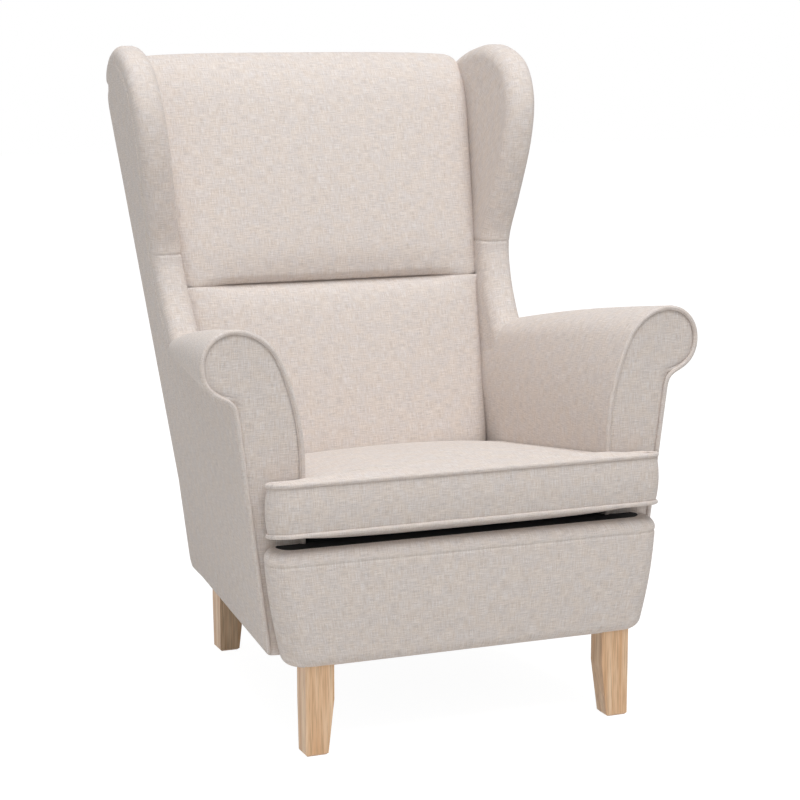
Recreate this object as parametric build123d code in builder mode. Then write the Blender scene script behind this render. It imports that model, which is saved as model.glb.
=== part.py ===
from build123d import *
import os
from math import cos, hypot, radians, sin, tan

# A wing armchair with rolled arms, a loose T-shaped seat cushion and a back pad in two parts.
# Millimetres, +Z up, the front faces -Y, the origin is on the floor under the middle of the chair.
# Depths are measured inwards from the outer face of the side or of the back.

os.makedirs("parts", exist_ok=True)

# Cloth, boards and fits
COVER_T = 2.0
PANEL_T = 4.0
BOARD_T = 18.0
SOFT_GAP = 0.3
WELT_R = 3.5
BOLT_GAP = 0.2
OPEN_OVER = 2.0
END_OVER = 10.0

# Outer side: a flat plane that toes in towards the rear and flares towards the top
SIDE_HALF = 329.0
SIDE_REF_Z = 550.0
SIDE_TOE = 5.1
SIDE_FLARE = 7.13

# Rear face: upright below the seat, leaning above it
REAR_Y = 223.0
KNEE_Z = 300.0
REAR_LEAN = 15.1
REAR_TOP_Z = 980.0
REAR_R = 16.0
BASE_Z = 147.0

# Front border and front rail
BORDER_FRONT = -398.0
BORDER_LOW = 135.0
BORDER_HIGH = 306.0
BORDER_HALF_LOW = 292.0
BORDER_HALF_HIGH = 321.0
BORDER_END_R = 25.0
BORDER_TOP_R = 18.0
BORDER_LOW_R = 14.0
BORDER_EASE = 0.3
RAIL_END = 20.0
FRONT_RAIL_T = 50.0
FRONT_RAIL_LOW = 140.0

# Seat frame
SIDE_RAIL_T = 25.0
SIDE_RAIL_HIGH = 235.0
REAR_RAIL_T = 40.0
BLOCK = 48.0
BLOCK_H = 70.0
POST_W = 40.0
POST_T = 40.0
POST_HIGH = 955.0
TOP_RAIL_H = 50.0
BACK_RAIL_T = 30.0
LUMBAR_Z = 605.0
LUMBAR_H = 45.0

# Legs
LEG_FRONT_IN = 25.0
LEG_FRONT_Y = -391.0
LEG_FRONT_W = 45.0
LEG_FRONT_D = 38.0
LEG_REAR_OUTER = 223.0
LEG_REAR_Y = 172.0
LEG_REAR_W = 44.0
LEG_REAR_D = 42.0
LEG_TAPER_W = 10.0
LEG_TAPER_D = 5.0
LEG_KNEE_Z = 85.0
LEG_EDGE = 3.0
PLATE_T = 3.0
PLATE_SIDE = 26.0
LEG_BOLT_R = 4.0
LEG_BOLT_UP = 45.0
LEG_BOLT_DOWN = 45.0
FRAME_BOLT_R = 4.0
FRAME_BOLT_HEAD_R = 8.0
FRAME_BOLT_HEAD_T = 5.0
FRAME_BOLT_EDGE = 10.0
FRAME_BOLT_STOP = 2.0
FRAME_BOLT_ZS = (170.0, 220.0)

# Arms
ARM_FRONT = -340.0
ARM_REAR = 150.0
ARM_INNER = 250.0
FACING_T = 4.0
FACING_LOW = 310.0
WELT_INSET = 6.0
NECK_Z = 529.0
ARM_SCROLL_FRONT = ((250, 430), (285, 590), (350, 636), (405, 582))
ARM_SCROLL_REAR = ((250, 425), (262, 520), (305, 557), (325, 543))
SHOULDER_GROW = (0.9, 0.45)
ARM_PAD_T = 34.0
ARM_RAIL_LOW = 484.0
ARM_RAIL_H = 32.0
ARM_RAIL_OUT = 10.0
ARM_RAIL_W = 30.0
ARM_END_GAP = 3.0

# Wings
WING_T = 52.0
WING_R = 20.0
WING_LOW = 500.0
WING_BOARD_EDGE = 20.0
WING_BOARD_OUT = 13.0
WING_FRONT = ((118, 540), (137, 590), (161, 640), (176, 695), (160, 768), (143, 862),
              (150, 942), (192, 1004), (264, 1031))

# Back pads: height, set-back of the front corner and crown of each level
BACK_Y = 84.0
BACK_Z = 344.0
BACK_LEAN = 20.4
LOWER_PAD = ((267, 33, 8), (355, 2, 14), (450, 0, 20), (560, 0, 18), (608, 6, 12), (625, 20, 8), (631, 34, 4))
UPPER_PAD = ((633, 34, 4), (639, 20, 8), (656, 6, 14), (710, 0, 20), (830, 0, 22), (950, 0, 16),
             (995, 6, 10), (1012, 20, 6), (1019, 36, 4))
PAD_TOP_REAR = ((995, 8), (1012, 24), (1019, 38))
PAD_WIDER = 3.0
WEB_T = 2.0
WEB_W = 50.0
WEB_LEVELS = (330.0, 425.0, 525.0, 690.0, 780.0, 865.0)
WEB_EDGE = 32.0

# Seat cushion: its levels are planes that fall towards the rear
CUSHION_FRONT = -403.0
CUSHION_REAR = 68.0
CUSHION_LOW = 340.0
CUSHION_BOXING = 75.0
CUSHION_SLOPE = 7.5
CUSHION_BODY = 244.0
EAR_HALF = 317.0
EAR_REAR = -349.5
EAR_R = 26.0
EAR_REAR_R = 14.0
NOTCH_R = 8.0
CUSHION_REAR_R = 24.0
CUSHION_WAIST = 4.0
CUSHION_OVER = 25.0
CUSHION_CROWN = ((-10, 2), (45, 12), (180, 19), (330, 18), (430, 10), (481, 2))
CROWN_BELOW = 0.65
CROWN_EDGE = 1.0
ZIP_W = 380.0
ZIP_H = 8.0
ZIP_T = 1.6
PULL_W = 7.0
PULL_L = 22.0

# Deck and springs
DECK_T = 20.0
DECK_FRONT = -338.0
DECK_CLIP_GAP = 2.0
WIRE_R = 1.8
SPRING_COUNT = 5
SPRING_STEP = 90.0
SPRING_W = 60.0
SPRING_ROWS = 13
SPRING_BEND = 0.45
SPRING_FRONT = -350.0
SPRING_REAR = 184.0
CLIP_W = 12.0
CLIP_L = 12.0
CLIP_H = 8.0
DUST_T = 1.0
DUST_EDGE = 12.0
DUST_LEG_GAP = 1.0

# Reach of the helper solids, well outside the chair
REACH = 600.0
REACH_Z = 1200.0

TOE = tan(radians(SIDE_TOE))
FLARE = tan(radians(SIDE_FLARE))
SIDE_STRETCH = (1 + TOE**2 + FLARE**2) ** 0.5
LEAN = tan(radians(REAR_LEAN))
SLOPE = tan(radians(CUSHION_SLOPE))
RAIL_HALF = BORDER_HALF_LOW - RAIL_END
LEG_FRONT_OUTER = BORDER_HALF_LOW - LEG_FRONT_IN
BOARD_FRONT = ARM_FRONT + FACING_T
BOARD_REAR = BOARD_FRONT + BOARD_T
REAR_RAIL_REAR = REAR_Y - REAR_R - SOFT_GAP
REAR_RAIL_FRONT = REAR_RAIL_REAR - REAR_RAIL_T
POST_DEPTH = PANEL_T + POST_T
OPEN_SIDE = -OPEN_OVER
SKIN = COVER_T + SOFT_GAP
WEB_DEPTH = POST_DEPTH + WEB_T
PAD_DEPTH = WING_T + SOFT_GAP
CUSHION_HIGH = CUSHION_LOW + CUSHION_BOXING
DECK_REAR = SPRING_REAR - CLIP_L / 2 - DECK_CLIP_GAP
BOTTOM_CROWN = CROWN_BELOW * max(crown for _, crown in CUSHION_CROWN)


def side_x(y, z, depth=0.0):
    """Half-width of the chair at y and z, measured to the side plane moved in by depth."""
    return SIDE_HALF - TOE * y + FLARE * (z - SIDE_REF_Z) - depth * SIDE_STRETCH


def rear_y(z, depth=0.0):
    """Place of the rear face at height z, moved in by depth."""
    leaning = REAR_Y + LEAN * (z - KNEE_Z) - depth / cos(radians(REAR_LEAN))
    return max(leaning, REAR_Y - depth)


def knee(depth):
    """Corner between the upright and the leaning part of the rear face, moved in by depth."""
    return (REAR_Y - depth, KNEE_Z + depth * tan(radians(REAR_LEAN / 2)))


def back_y(z):
    """Front line of the back pads beside the wings."""
    return BACK_Y + tan(radians(BACK_LEAN)) * (z - BACK_Z)


def deck_z(y):
    """Top of the seat deck, just under the lowest line of the cushion."""
    return CUSHION_LOW - SLOPE * (y - CUSHION_FRONT) - BOTTOM_CROWN - SOFT_GAP


def wire_z(y):
    """Middle of the spring wires under the deck."""
    return deck_z(y) - (DECK_T + WIRE_R) / cos(radians(CUSHION_SLOPE)) - SOFT_GAP


FRONT_RAIL_HIGH = wire_z(SPRING_FRONT) - CLIP_H / 2
REAR_RAIL_HIGH = wire_z(SPRING_REAR) - CLIP_H / 2


def between_sides(depth):
    """Solid space between the two side planes, each moved in by depth."""
    with BuildPart() as space:
        for z in (0.0, REACH_Z):
            with BuildSketch(Plane.XY.offset(z)):
                with BuildLine():
                    front, rear = side_x(-REACH, z, depth), side_x(REACH, z, depth)
                    Polyline((front, -REACH), (rear, REACH), (-rear, REACH), (-front, -REACH), close=True)
                make_face()
        loft(ruled=True)
    return space.part


def across(points):
    """Solid with a straight-sided outline in side view, running the whole width of the chair."""
    with BuildPart() as bar:
        with BuildSketch(Plane.YZ):
            with BuildLine():
                Polyline(*points, close=True)
            make_face()
        extrude(amount=REACH, both=True)
    return bar.part


def rear_band(near, far, low, high):
    """Side-view outline of a member that follows the leaning rear face between two depths."""
    return [(rear_y(low, near), low), (rear_y(high, near), high),
            (rear_y(high, far), high), (rear_y(low, far), low)]


def wing_points(inset):
    """Front edge of the wing in side view, moved inwards square to itself by inset."""
    points = []
    for i, (y, z) in enumerate(WING_FRONT):
        before = WING_FRONT[max(i - 1, 0)]
        after = WING_FRONT[min(i + 1, len(WING_FRONT) - 1)]
        dy, dz = after[0] - before[0], after[1] - before[1]
        if i == len(WING_FRONT) - 1:
            dy, dz = 1.0, 0.0
        size = hypot(dy, dz)
        points.append((y + inset * dz / size, z - inset * dy / size))
    return points


def wing_sketch(inset, rear_depth, low):
    """Wing outline in side view, down to the height low."""
    front = wing_points(inset)
    high = REAR_TOP_Z - inset
    with BuildSketch(Plane.YZ) as outline:
        with BuildLine():
            rear_high = (rear_y(high, rear_depth), high)
            rear_low = (rear_y(low, rear_depth), low)
            Line((front[0][0], low), front[0])
            Spline(*front)
            TangentArc(front[-1], rear_high, tangent=(1, 0))
            Polyline(rear_high, rear_low, (front[0][0], low))
        make_face()
    return outline.sketch


def arm_points(y, grow, depth, low):
    """Corners of the right arm's section at y, grown outwards; the flat outer side lies at depth."""
    share = (y - BOARD_FRONT) / (ARM_REAR - BOARD_FRONT)
    spring, shoulder, ridge, roll = [(front[0] + (rear[0] - front[0]) * share,
                                      front[1] + (rear[1] - front[1]) * share)
                                     for front, rear in zip(ARM_SCROLL_FRONT, ARM_SCROLL_REAR)]
    return [(ARM_INNER - grow, low), (ARM_INNER - grow, spring[1]),
            (shoulder[0] - SHOULDER_GROW[0] * grow, shoulder[1] + SHOULDER_GROW[1] * grow),
            (ridge[0], ridge[1] + grow),
            (roll[0] + grow, roll[1]), (side_x(y, NECK_Z, depth), NECK_Z - grow), (side_x(y, low, depth), low)]


def arm_roll(points):
    """Inner side and roll of the arm's section as one smooth line of arcs."""
    foot, spring, shoulder, ridge, roll, neck, _ = points
    upright = Line(foot, spring)
    inner = TangentArc(spring, shoulder, tangent=upright % 1)
    top = TangentArc(shoulder, ridge, tangent=inner % 1)
    outer = TangentArc(ridge, roll, tangent=top % 1)
    TangentArc(roll, neck, tangent=outer % 1)


def arm_sketch(y, grow, depth, low):
    """Section of the right arm at y: upright inner face, rolled top and the flat side below the roll."""
    points = arm_points(y, grow, depth, low)
    with BuildSketch(Plane.XZ.offset(-y)) as section:
        with BuildLine():
            arm_roll(points)
            Polyline(points[5], points[6], points[0])
        make_face()
    return section.sketch


def arm_form(grow, depth, low, front, rear):
    """Right arm between two places along the chair."""
    with BuildPart() as form:
        add(arm_sketch(front, grow, depth, low))
        add(arm_sketch(rear, grow, depth, low))
        loft(ruled=True)
    return form.part


def pad_form(levels, inset, over):
    """Back pad through its levels: flat rear, crowned front, moved in by inset at the front and the top.

    It is wider than its room by PAD_WIDER, and its plain ends run on by over."""
    top_rear = dict(PAD_TOP_REAR)
    last = len(levels) - 1
    with BuildPart() as form:
        for i, (z, set_back, crown) in enumerate(levels):
            lift = 0.0
            if i == 0:
                lift = -over
            elif i == last:
                lift = -inset if z > REAR_TOP_Z else over
            rear = rear_y(min(z, REAR_TOP_Z), PANEL_T + SOFT_GAP) - top_rear.get(z, 0.0)
            front = back_y(z) + set_back + inset
            half_rear = side_x(rear, z, PAD_DEPTH) + PAD_WIDER
            half_front = side_x(front, z, PAD_DEPTH) + PAD_WIDER
            with BuildSketch(Plane.XY.offset(z + lift)):
                with BuildLine():
                    Polyline((-half_front, front), (-half_rear, rear), (half_rear, rear), (half_front, front))
                    ThreePointArc((half_front, front), (0, front - crown), (-half_front, front))
                make_face()
        loft(ruled=True)
    return form.part


def cushion_plane(level):
    """Plane of the cushion at a height given at its front edge."""
    fall = radians(CUSHION_SLOPE)
    return Plane(origin=(0, CUSHION_FRONT, level), x_dir=(1, 0, 0), z_dir=(0, sin(fall), cos(fall)))


def cushion_corners(inset):
    """Corners and corner radii of the T-shaped plan, on the cushion's own plane."""
    stretch = 1 / cos(radians(CUSHION_SLOPE))
    ear, body = EAR_HALF - inset, CUSHION_BODY - inset
    front = inset
    notch = (EAR_REAR - CUSHION_FRONT) * stretch - inset
    rear = (CUSHION_REAR - CUSHION_FRONT) * stretch - inset
    right = [(ear, front), (ear, notch), (body, notch), (body, rear)]
    left = [(-x, y) for x, y in reversed(right)]
    radii = [EAR_R, EAR_REAR_R, NOTCH_R, CUSHION_REAR_R]
    return right + left, radii + radii[::-1]


def cushion_form(inset):
    """Cushion with drawn-in sides and a crown above and below."""
    with BuildPart() as form:
        middle = (CUSHION_LOW + CUSHION_HIGH) / 2
        for level, waist in ((CUSHION_LOW - CUSHION_OVER, 0.0), (middle, CUSHION_WAIST),
                             (CUSHION_HIGH + CUSHION_OVER, 0.0)):
            corners, radii = cushion_corners(waist + inset)
            with BuildSketch(cushion_plane(level)):
                with BuildLine():
                    FilletPolyline(*corners, radius=radii, close=True)
                make_face()
        loft()
    with BuildPart() as crowned:
        half = EAR_HALF + EAR_R
        for place, crown in CUSHION_CROWN:
            y = CUSHION_FRONT + place
            high = CUSHION_HIGH - SLOPE * place - inset
            low = CUSHION_LOW - SLOPE * place + inset
            with BuildSketch(Plane.XZ.offset(-y)):
                with BuildLine():
                    Line((half, low - CROWN_EDGE), (half, high + CROWN_EDGE))
                    ThreePointArc((half, high + CROWN_EDGE), (0, high + crown), (-half, high + CROWN_EDGE))
                    Line((-half, high + CROWN_EDGE), (-half, low - CROWN_EDGE))
                    ThreePointArc((-half, low - CROWN_EDGE), (0, low - CROWN_BELOW * crown),
                                  (half, low - CROWN_EDGE))
                make_face()
        loft(ruled=True)
        add(form.part, mode=Mode.INTERSECT)
    return crowned.part


def cushion_welt(level):
    """Piping all round the cushion at one level, lying against its cover."""
    share = CUSHION_BOXING / (CUSHION_BOXING + 2 * CUSHION_OVER)
    waist = CUSHION_WAIST * (1 - share**2)
    corners, radii = cushion_corners(waist - WELT_R - SOFT_GAP)
    with BuildPart() as welt:
        with BuildLine(cushion_plane(level)) as path:
            FilletPolyline(*corners, radius=radii, close=True)
        with BuildSketch(Plane(origin=path.line @ 0, z_dir=path.line % 0)):
            Circle(WELT_R)
        sweep()
    return welt.part


def border_form(inset, rear):
    """Front border: wider at the top, with rounded ends and rounded top and bottom edges."""
    levels = ((BORDER_LOW + inset, BORDER_HALF_LOW, BORDER_LOW_R),
              (BORDER_LOW + BORDER_EASE * BORDER_LOW_R, BORDER_HALF_LOW, BORDER_EASE * BORDER_LOW_R),
              (BORDER_LOW + BORDER_LOW_R, BORDER_HALF_LOW, 0.0),
              (BORDER_HIGH - BORDER_TOP_R, BORDER_HALF_HIGH, 0.0),
              (BORDER_HIGH - BORDER_EASE * BORDER_TOP_R, BORDER_HALF_HIGH, BORDER_EASE * BORDER_TOP_R),
              (BORDER_HIGH - inset, BORDER_HALF_HIGH, BORDER_TOP_R))
    with BuildPart() as form:
        for z, half, back in levels:
            edge = inset + back
            with BuildSketch(Plane.XY.offset(z)):
                with BuildLine():
                    corners = [(half - edge, rear), (half - edge, BORDER_FRONT + edge),
                               (-half + edge, BORDER_FRONT + edge), (-half + edge, rear)]
                    FilletPolyline(*corners, radius=BORDER_END_R)
                    Line(corners[-1], corners[0])
                make_face()
        loft(ruled=True)
    return form.part


def leg(outer, front, wide, deep, high):
    """Right leg: straight outer and front faces, inner and rear faces tapering to the foot."""
    inner = outer - wide
    with BuildPart() as body:
        for z, taper in ((0.0, 1.0), (LEG_KNEE_Z, 0.0), (high, 0.0)):
            with BuildSketch(Plane.XY.offset(z)):
                with BuildLine():
                    left, rear = inner + taper * LEG_TAPER_W, front + deep - taper * LEG_TAPER_D
                    Polyline((left, front), (outer, front), (outer, rear), (left, rear), close=True)
                make_face()
        loft(ruled=True)
        chamfer(body.faces().sort_by(Axis.Z)[0].edges(), LEG_EDGE)
        with Locations((outer - wide / 2, front + deep / 2, high)):
            Hole(LEG_BOLT_R + BOLT_GAP, depth=LEG_BOLT_DOWN + BOLT_GAP)
    return body.part


# Leg places: middle of each leg's top, for the plates and the bolts
LEG_TOPS = [(side * (outer - wide / 2), front + deep / 2, high)
            for outer, wide, front, deep, high in
            ((LEG_FRONT_OUTER, LEG_FRONT_W, LEG_FRONT_Y, LEG_FRONT_D, FRONT_RAIL_LOW),
             (LEG_REAR_OUTER, LEG_REAR_W, LEG_REAR_Y, LEG_REAR_D, BASE_Z))
            for side in (1, -1)]
FRAME_BOLT_X = RAIL_HALF - FRAME_BOLT_EDGE

# Spaces that the pieces share
within_panel = between_sides(PANEL_T)
within_sides = between_sides(0.0)
within_panel_soft = between_sides(PANEL_T + SOFT_GAP)
within_posts = between_sides(PANEL_T + POST_W)
within_wings = between_sides(WING_T)
within_wing_cover = between_sides(WING_T - COVER_T)
within_pads = between_sides(PAD_DEPTH)
CORE_DEPTH = WEB_DEPTH + SOFT_GAP
CORE_HIGH = POST_HIGH + SOFT_GAP
back_core = across([(REACH, 0.0), (REACH, CORE_HIGH), (rear_y(CORE_HIGH, CORE_DEPTH), CORE_HIGH),
                    knee(CORE_DEPTH), (REAR_Y - CORE_DEPTH, 0.0)])
behind_arms = across([(back_y(0.0) - ARM_END_GAP, 0.0), (back_y(REACH_Z) - ARM_END_GAP, REACH_Z),
                      (back_y(REACH_Z) + REACH, REACH_Z), (back_y(REACH_Z) + REACH, 0.0)])
arm_room = arm_form(SOFT_GAP, PANEL_T, SIDE_RAIL_HIGH, BOARD_FRONT, ARM_REAR)


def side_slab(outline, outer_space, inner_space):
    """Right-hand slab with an outline in side view, between two spaces one inside the other."""
    with BuildPart() as slab:
        extrude(outline, amount=REACH, dir=(1, 0, 0))
        add(outer_space, mode=Mode.INTERSECT)
        add(inner_space, mode=Mode.SUBTRACT)
    return slab.part


def side_outline(points):
    """Straight-sided outline in side view."""
    with BuildSketch(Plane.YZ) as outline:
        with BuildLine():
            Polyline(*points, close=True)
        make_face()
    return outline.sketch


def on_inner_face(edge, depth):
    """True for a curved edge that lies on the side plane moved in by depth."""
    middle = edge.center()
    near = abs(side_x(middle.Y, middle.Z, depth) - middle.X) < 0.01
    return near and edge.geom_type != GeomType.LINE


# Legs, with the plates and bolts that hold them to the rails
front_right = leg(LEG_FRONT_OUTER, LEG_FRONT_Y, LEG_FRONT_W, LEG_FRONT_D, FRONT_RAIL_LOW)
rear_right = leg(LEG_REAR_OUTER, LEG_REAR_Y, LEG_REAR_W, LEG_REAR_D, BASE_Z)

with BuildPart() as front_right_leg:
    add(front_right)

with BuildPart() as front_left_leg:
    mirror(front_right, about=Plane.YZ)

with BuildPart() as rear_right_leg:
    add(rear_right)

with BuildPart() as rear_left_leg:
    mirror(rear_right, about=Plane.YZ)

with BuildPart() as leg_plates:
    for x, y, z in LEG_TOPS:
        with Locations((x, y, z)):
            Box(PLATE_SIDE, PLATE_SIDE, PLATE_T, align=(Align.CENTER, Align.CENTER, Align.MIN))
            Cylinder(LEG_BOLT_R + BOLT_GAP, PLATE_T, align=(Align.CENTER, Align.CENTER, Align.MIN),
                     mode=Mode.SUBTRACT)

with BuildPart() as leg_bolts:
    for x, y, z in LEG_TOPS:
        with Locations((x, y, z - LEG_BOLT_DOWN)):
            Cylinder(LEG_BOLT_R, LEG_BOLT_DOWN + LEG_BOLT_UP, align=(Align.CENTER, Align.CENTER, Align.MIN))

with BuildPart() as leg_sockets:
    for x, y, z in LEG_TOPS:
        with Locations((x, y, z)):
            Box(PLATE_SIDE + 2 * BOLT_GAP, PLATE_SIDE + 2 * BOLT_GAP, PLATE_T + BOLT_GAP,
                align=(Align.CENTER, Align.CENTER, Align.MIN))
            Cylinder(LEG_BOLT_R + BOLT_GAP, LEG_BOLT_UP + BOLT_GAP,
                     align=(Align.CENTER, Align.CENTER, Align.MIN))

# Seat frame: rails, corner blocks and the bolts that hold the arm boards to the front rail
FRONT_RAIL_FRONT = BOARD_FRONT - FRONT_RAIL_T
BOLT_PLACES = [(side * FRAME_BOLT_X, z) for side in (1, -1) for z in FRAME_BOLT_ZS]
BOLT_LENGTH = BOARD_REAR - FRAME_BOLT_STOP - FRONT_RAIL_FRONT

with BuildPart() as frame_bolts:
    with BuildSketch(Plane.XZ.offset(-FRONT_RAIL_FRONT)):
        with Locations(*BOLT_PLACES):
            Circle(FRAME_BOLT_R)
    extrude(amount=-BOLT_LENGTH)
    with BuildSketch(Plane.XZ.offset(-FRONT_RAIL_FRONT)):
        with Locations(*BOLT_PLACES):
            Circle(FRAME_BOLT_HEAD_R)
    extrude(amount=-FRAME_BOLT_HEAD_T)

with BuildPart() as bolt_holes:
    with BuildSketch(Plane.XZ.offset(-FRONT_RAIL_FRONT)):
        with Locations(*BOLT_PLACES):
            Circle(FRAME_BOLT_R + BOLT_GAP)
    extrude(amount=-(BOLT_LENGTH + BOLT_GAP))
    with BuildSketch(Plane.XZ.offset(-FRONT_RAIL_FRONT)):
        with Locations(*BOLT_PLACES):
            Circle(FRAME_BOLT_HEAD_R + BOLT_GAP)
    extrude(amount=-(FRAME_BOLT_HEAD_T + BOLT_GAP))

with BuildPart() as front_seat_rail:
    with BuildSketch(Plane.XY.offset(FRONT_RAIL_LOW)):
        with Locations((0, BOARD_FRONT - FRONT_RAIL_T / 2)):
            Rectangle(2 * RAIL_HALF, FRONT_RAIL_T)
    extrude(amount=FRONT_RAIL_HIGH - FRONT_RAIL_LOW)
    add(leg_sockets.part, mode=Mode.SUBTRACT)
    add(bolt_holes.part, mode=Mode.SUBTRACT)

with BuildPart() as rear_seat_rail:
    with BuildSketch(Plane.XY.offset(BASE_Z)):
        with Locations((0, REAR_RAIL_REAR - REAR_RAIL_T / 2)):
            Rectangle(2 * REACH, REAR_RAIL_T)
    extrude(amount=REAR_RAIL_HIGH - BASE_Z)
    add(within_posts, mode=Mode.INTERSECT)
    add(leg_sockets.part, mode=Mode.SUBTRACT)

within_rails = between_sides(PANEL_T + SIDE_RAIL_T)
rail_outline = side_outline([(BOARD_REAR, BASE_Z), (REAR_Y - POST_DEPTH, BASE_Z),
                             (REAR_Y - POST_DEPTH, SIDE_RAIL_HIGH), (BOARD_REAR, SIDE_RAIL_HIGH)])

rail_slab = side_slab(rail_outline, within_panel, within_rails)

with BuildPart() as right_seat_rail:
    add(rail_slab)

with BuildPart() as left_seat_rail:
    mirror(right_seat_rail.part, about=Plane.YZ)

with BuildPart() as corner_blocks:
    board_edge = ARM_INNER + COVER_T + SOFT_GAP
    rear_edge = side_x(REAR_RAIL_FRONT, BASE_Z, PANEL_T + SIDE_RAIL_T)
    with BuildSketch(Plane.XY.offset(BASE_Z)):
        with Locations((board_edge - BLOCK / 2, BOARD_FRONT + BLOCK / 2),
                       (rear_edge - BLOCK / 2, REAR_RAIL_FRONT - BLOCK / 2)):
            Rectangle(BLOCK, BLOCK)
    extrude(amount=BLOCK_H)
    add(within_rails, mode=Mode.INTERSECT)
    mirror(about=Plane.YZ)

# Back frame: two posts, the rails between them and the webbing in front
post_outline = side_outline([(REAR_Y - POST_DEPTH, BASE_Z), (REAR_Y - REAR_R - PANEL_T, BASE_Z),
                             (REAR_Y - PANEL_T, BASE_Z + REAR_R), knee(PANEL_T),
                             (rear_y(POST_HIGH, PANEL_T), POST_HIGH),
                             (rear_y(POST_HIGH, POST_DEPTH), POST_HIGH), knee(POST_DEPTH)])

post_slab = side_slab(post_outline, within_panel, within_posts)

with BuildPart() as right_back_post:
    add(post_slab)

with BuildPart() as left_back_post:
    mirror(right_back_post.part, about=Plane.YZ)

top_rail = across(rear_band(PANEL_T, PANEL_T + BACK_RAIL_T, POST_HIGH - TOP_RAIL_H, POST_HIGH))
lumbar_rail = across(rear_band(PANEL_T, PANEL_T + BACK_RAIL_T, LUMBAR_Z, LUMBAR_Z + LUMBAR_H))

with BuildPart() as back_top_rail:
    add(top_rail)
    add(within_posts, mode=Mode.INTERSECT)

with BuildPart() as back_lumbar_rail:
    add(lumbar_rail)
    add(within_posts, mode=Mode.INTERSECT)

within_webbing = between_sides(WEB_EDGE)
bands = [across(rear_band(POST_DEPTH, WEB_DEPTH, z, z + WEB_W)) for z in WEB_LEVELS]

with BuildPart() as back_webbing:
    for band in bands:
        add(band)
    add(within_webbing, mode=Mode.INTERSECT)

# Arm frame: front boards cut to the scroll and rails under the rolls
board_form = arm_form(-SKIN, PANEL_T + SOFT_GAP, BASE_Z, BOARD_FRONT, BOARD_REAR)

with BuildPart() as right_arm_front_board:
    add(board_form)
    add(bolt_holes.part, mode=Mode.SUBTRACT)

with BuildPart() as left_arm_front_board:
    mirror(right_arm_front_board.part, about=Plane.YZ)

arm_rail_high = ARM_RAIL_LOW + ARM_RAIL_H
arm_rail_outline = side_outline([(BOARD_REAR, ARM_RAIL_LOW), (BOARD_REAR, arm_rail_high),
                                 (rear_y(arm_rail_high, POST_DEPTH), arm_rail_high),
                                 (rear_y(ARM_RAIL_LOW, POST_DEPTH), ARM_RAIL_LOW)])
arm_rail_outer = between_sides(ARM_RAIL_OUT)
arm_rail_inner = between_sides(ARM_RAIL_OUT + ARM_RAIL_W)

arm_rail_slab = side_slab(arm_rail_outline, arm_rail_outer, arm_rail_inner)

with BuildPart() as right_arm_rail:
    add(arm_rail_slab)

with BuildPart() as left_arm_rail:
    mirror(right_arm_rail.part, about=Plane.YZ)

wing_board_outer = between_sides(WING_BOARD_OUT)
wing_board_inner = between_sides(WING_BOARD_OUT + BOARD_T)
wing_board_outline = wing_sketch(WING_BOARD_EDGE, PANEL_T + WING_BOARD_EDGE, arm_rail_high)

wing_board_slab = side_slab(wing_board_outline, wing_board_outer, wing_board_inner)

with BuildPart() as right_wing_board:
    add(wing_board_slab)
    add(right_back_post.part, mode=Mode.SUBTRACT)
    add(arm_room, mode=Mode.SUBTRACT)

with BuildPart() as left_wing_board:
    mirror(right_wing_board.part, about=Plane.YZ)

# Seat springs on their clips, the deck over them and the dust cover below
SPRING_XS = [SPRING_STEP * (i - (SPRING_COUNT - 1) / 2) for i in range(SPRING_COUNT)]
SPRING_ENDS = (SPRING_FRONT, SPRING_REAR)


def spring_path(x):
    """Corners of one zigzag spring on its sloping plane."""
    step = (SPRING_REAR - SPRING_FRONT) / SPRING_ROWS
    corners = []
    for row in range(SPRING_ROWS + 1):
        y = SPRING_FRONT + row * step
        side = 1 if row % 2 else -1
        for end in (side, -side):
            corners.append((x + end * SPRING_W / 2, y, wire_z(y)))
    return corners, SPRING_BEND * step


with BuildPart() as seat_springs:
    for x in SPRING_XS:
        corners, bend = spring_path(x)
        with BuildLine() as wire:
            FilletPolyline(*corners, radius=bend)
        with BuildSketch(Plane(origin=wire.line @ 0, z_dir=wire.line % 0)):
            Circle(WIRE_R)
        sweep()

with BuildPart() as spring_clips:
    for y in SPRING_ENDS:
        with Locations(*[(x, y, wire_z(y)) for x in SPRING_XS]):
            Box(CLIP_W, CLIP_L, CLIP_H)
            Cylinder(WIRE_R + BOLT_GAP, CLIP_W, rotation=(0, 90, 0), mode=Mode.SUBTRACT)

deck_outline = side_outline([(DECK_FRONT, deck_z(DECK_FRONT)), (DECK_REAR, deck_z(DECK_REAR)),
                             (DECK_REAR, deck_z(DECK_REAR) - DECK_T),
                             (DECK_FRONT, deck_z(DECK_FRONT) - DECK_T)])

deck_room = between_sides(PANEL_T + POST_W + SOFT_GAP)

with BuildPart() as seat_deck:
    extrude(deck_outline, amount=ARM_INNER - SOFT_GAP, dir=(1, 0, 0), both=True)
    add(deck_room, mode=Mode.INTERSECT)

with BuildPart() as dust_cover:
    with BuildSketch(Plane.XY.offset(BASE_Z - DUST_T)):
        with BuildLine():
            front = side_x(BOARD_FRONT, BASE_Z, DUST_EDGE)
            rear = side_x(REAR_RAIL_REAR, BASE_Z, DUST_EDGE)
            Polyline((-front, BOARD_FRONT), (front, BOARD_FRONT),
                     (rear, REAR_RAIL_REAR), (-rear, REAR_RAIL_REAR), close=True)
        make_face()
        with Locations(*[(x, y) for x, y, z in LEG_TOPS[2:]]):
            Rectangle(LEG_REAR_W + 2 * DUST_LEG_GAP, LEG_REAR_D + 2 * DUST_LEG_GAP, mode=Mode.SUBTRACT)
    extrude(amount=DUST_T)

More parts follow.
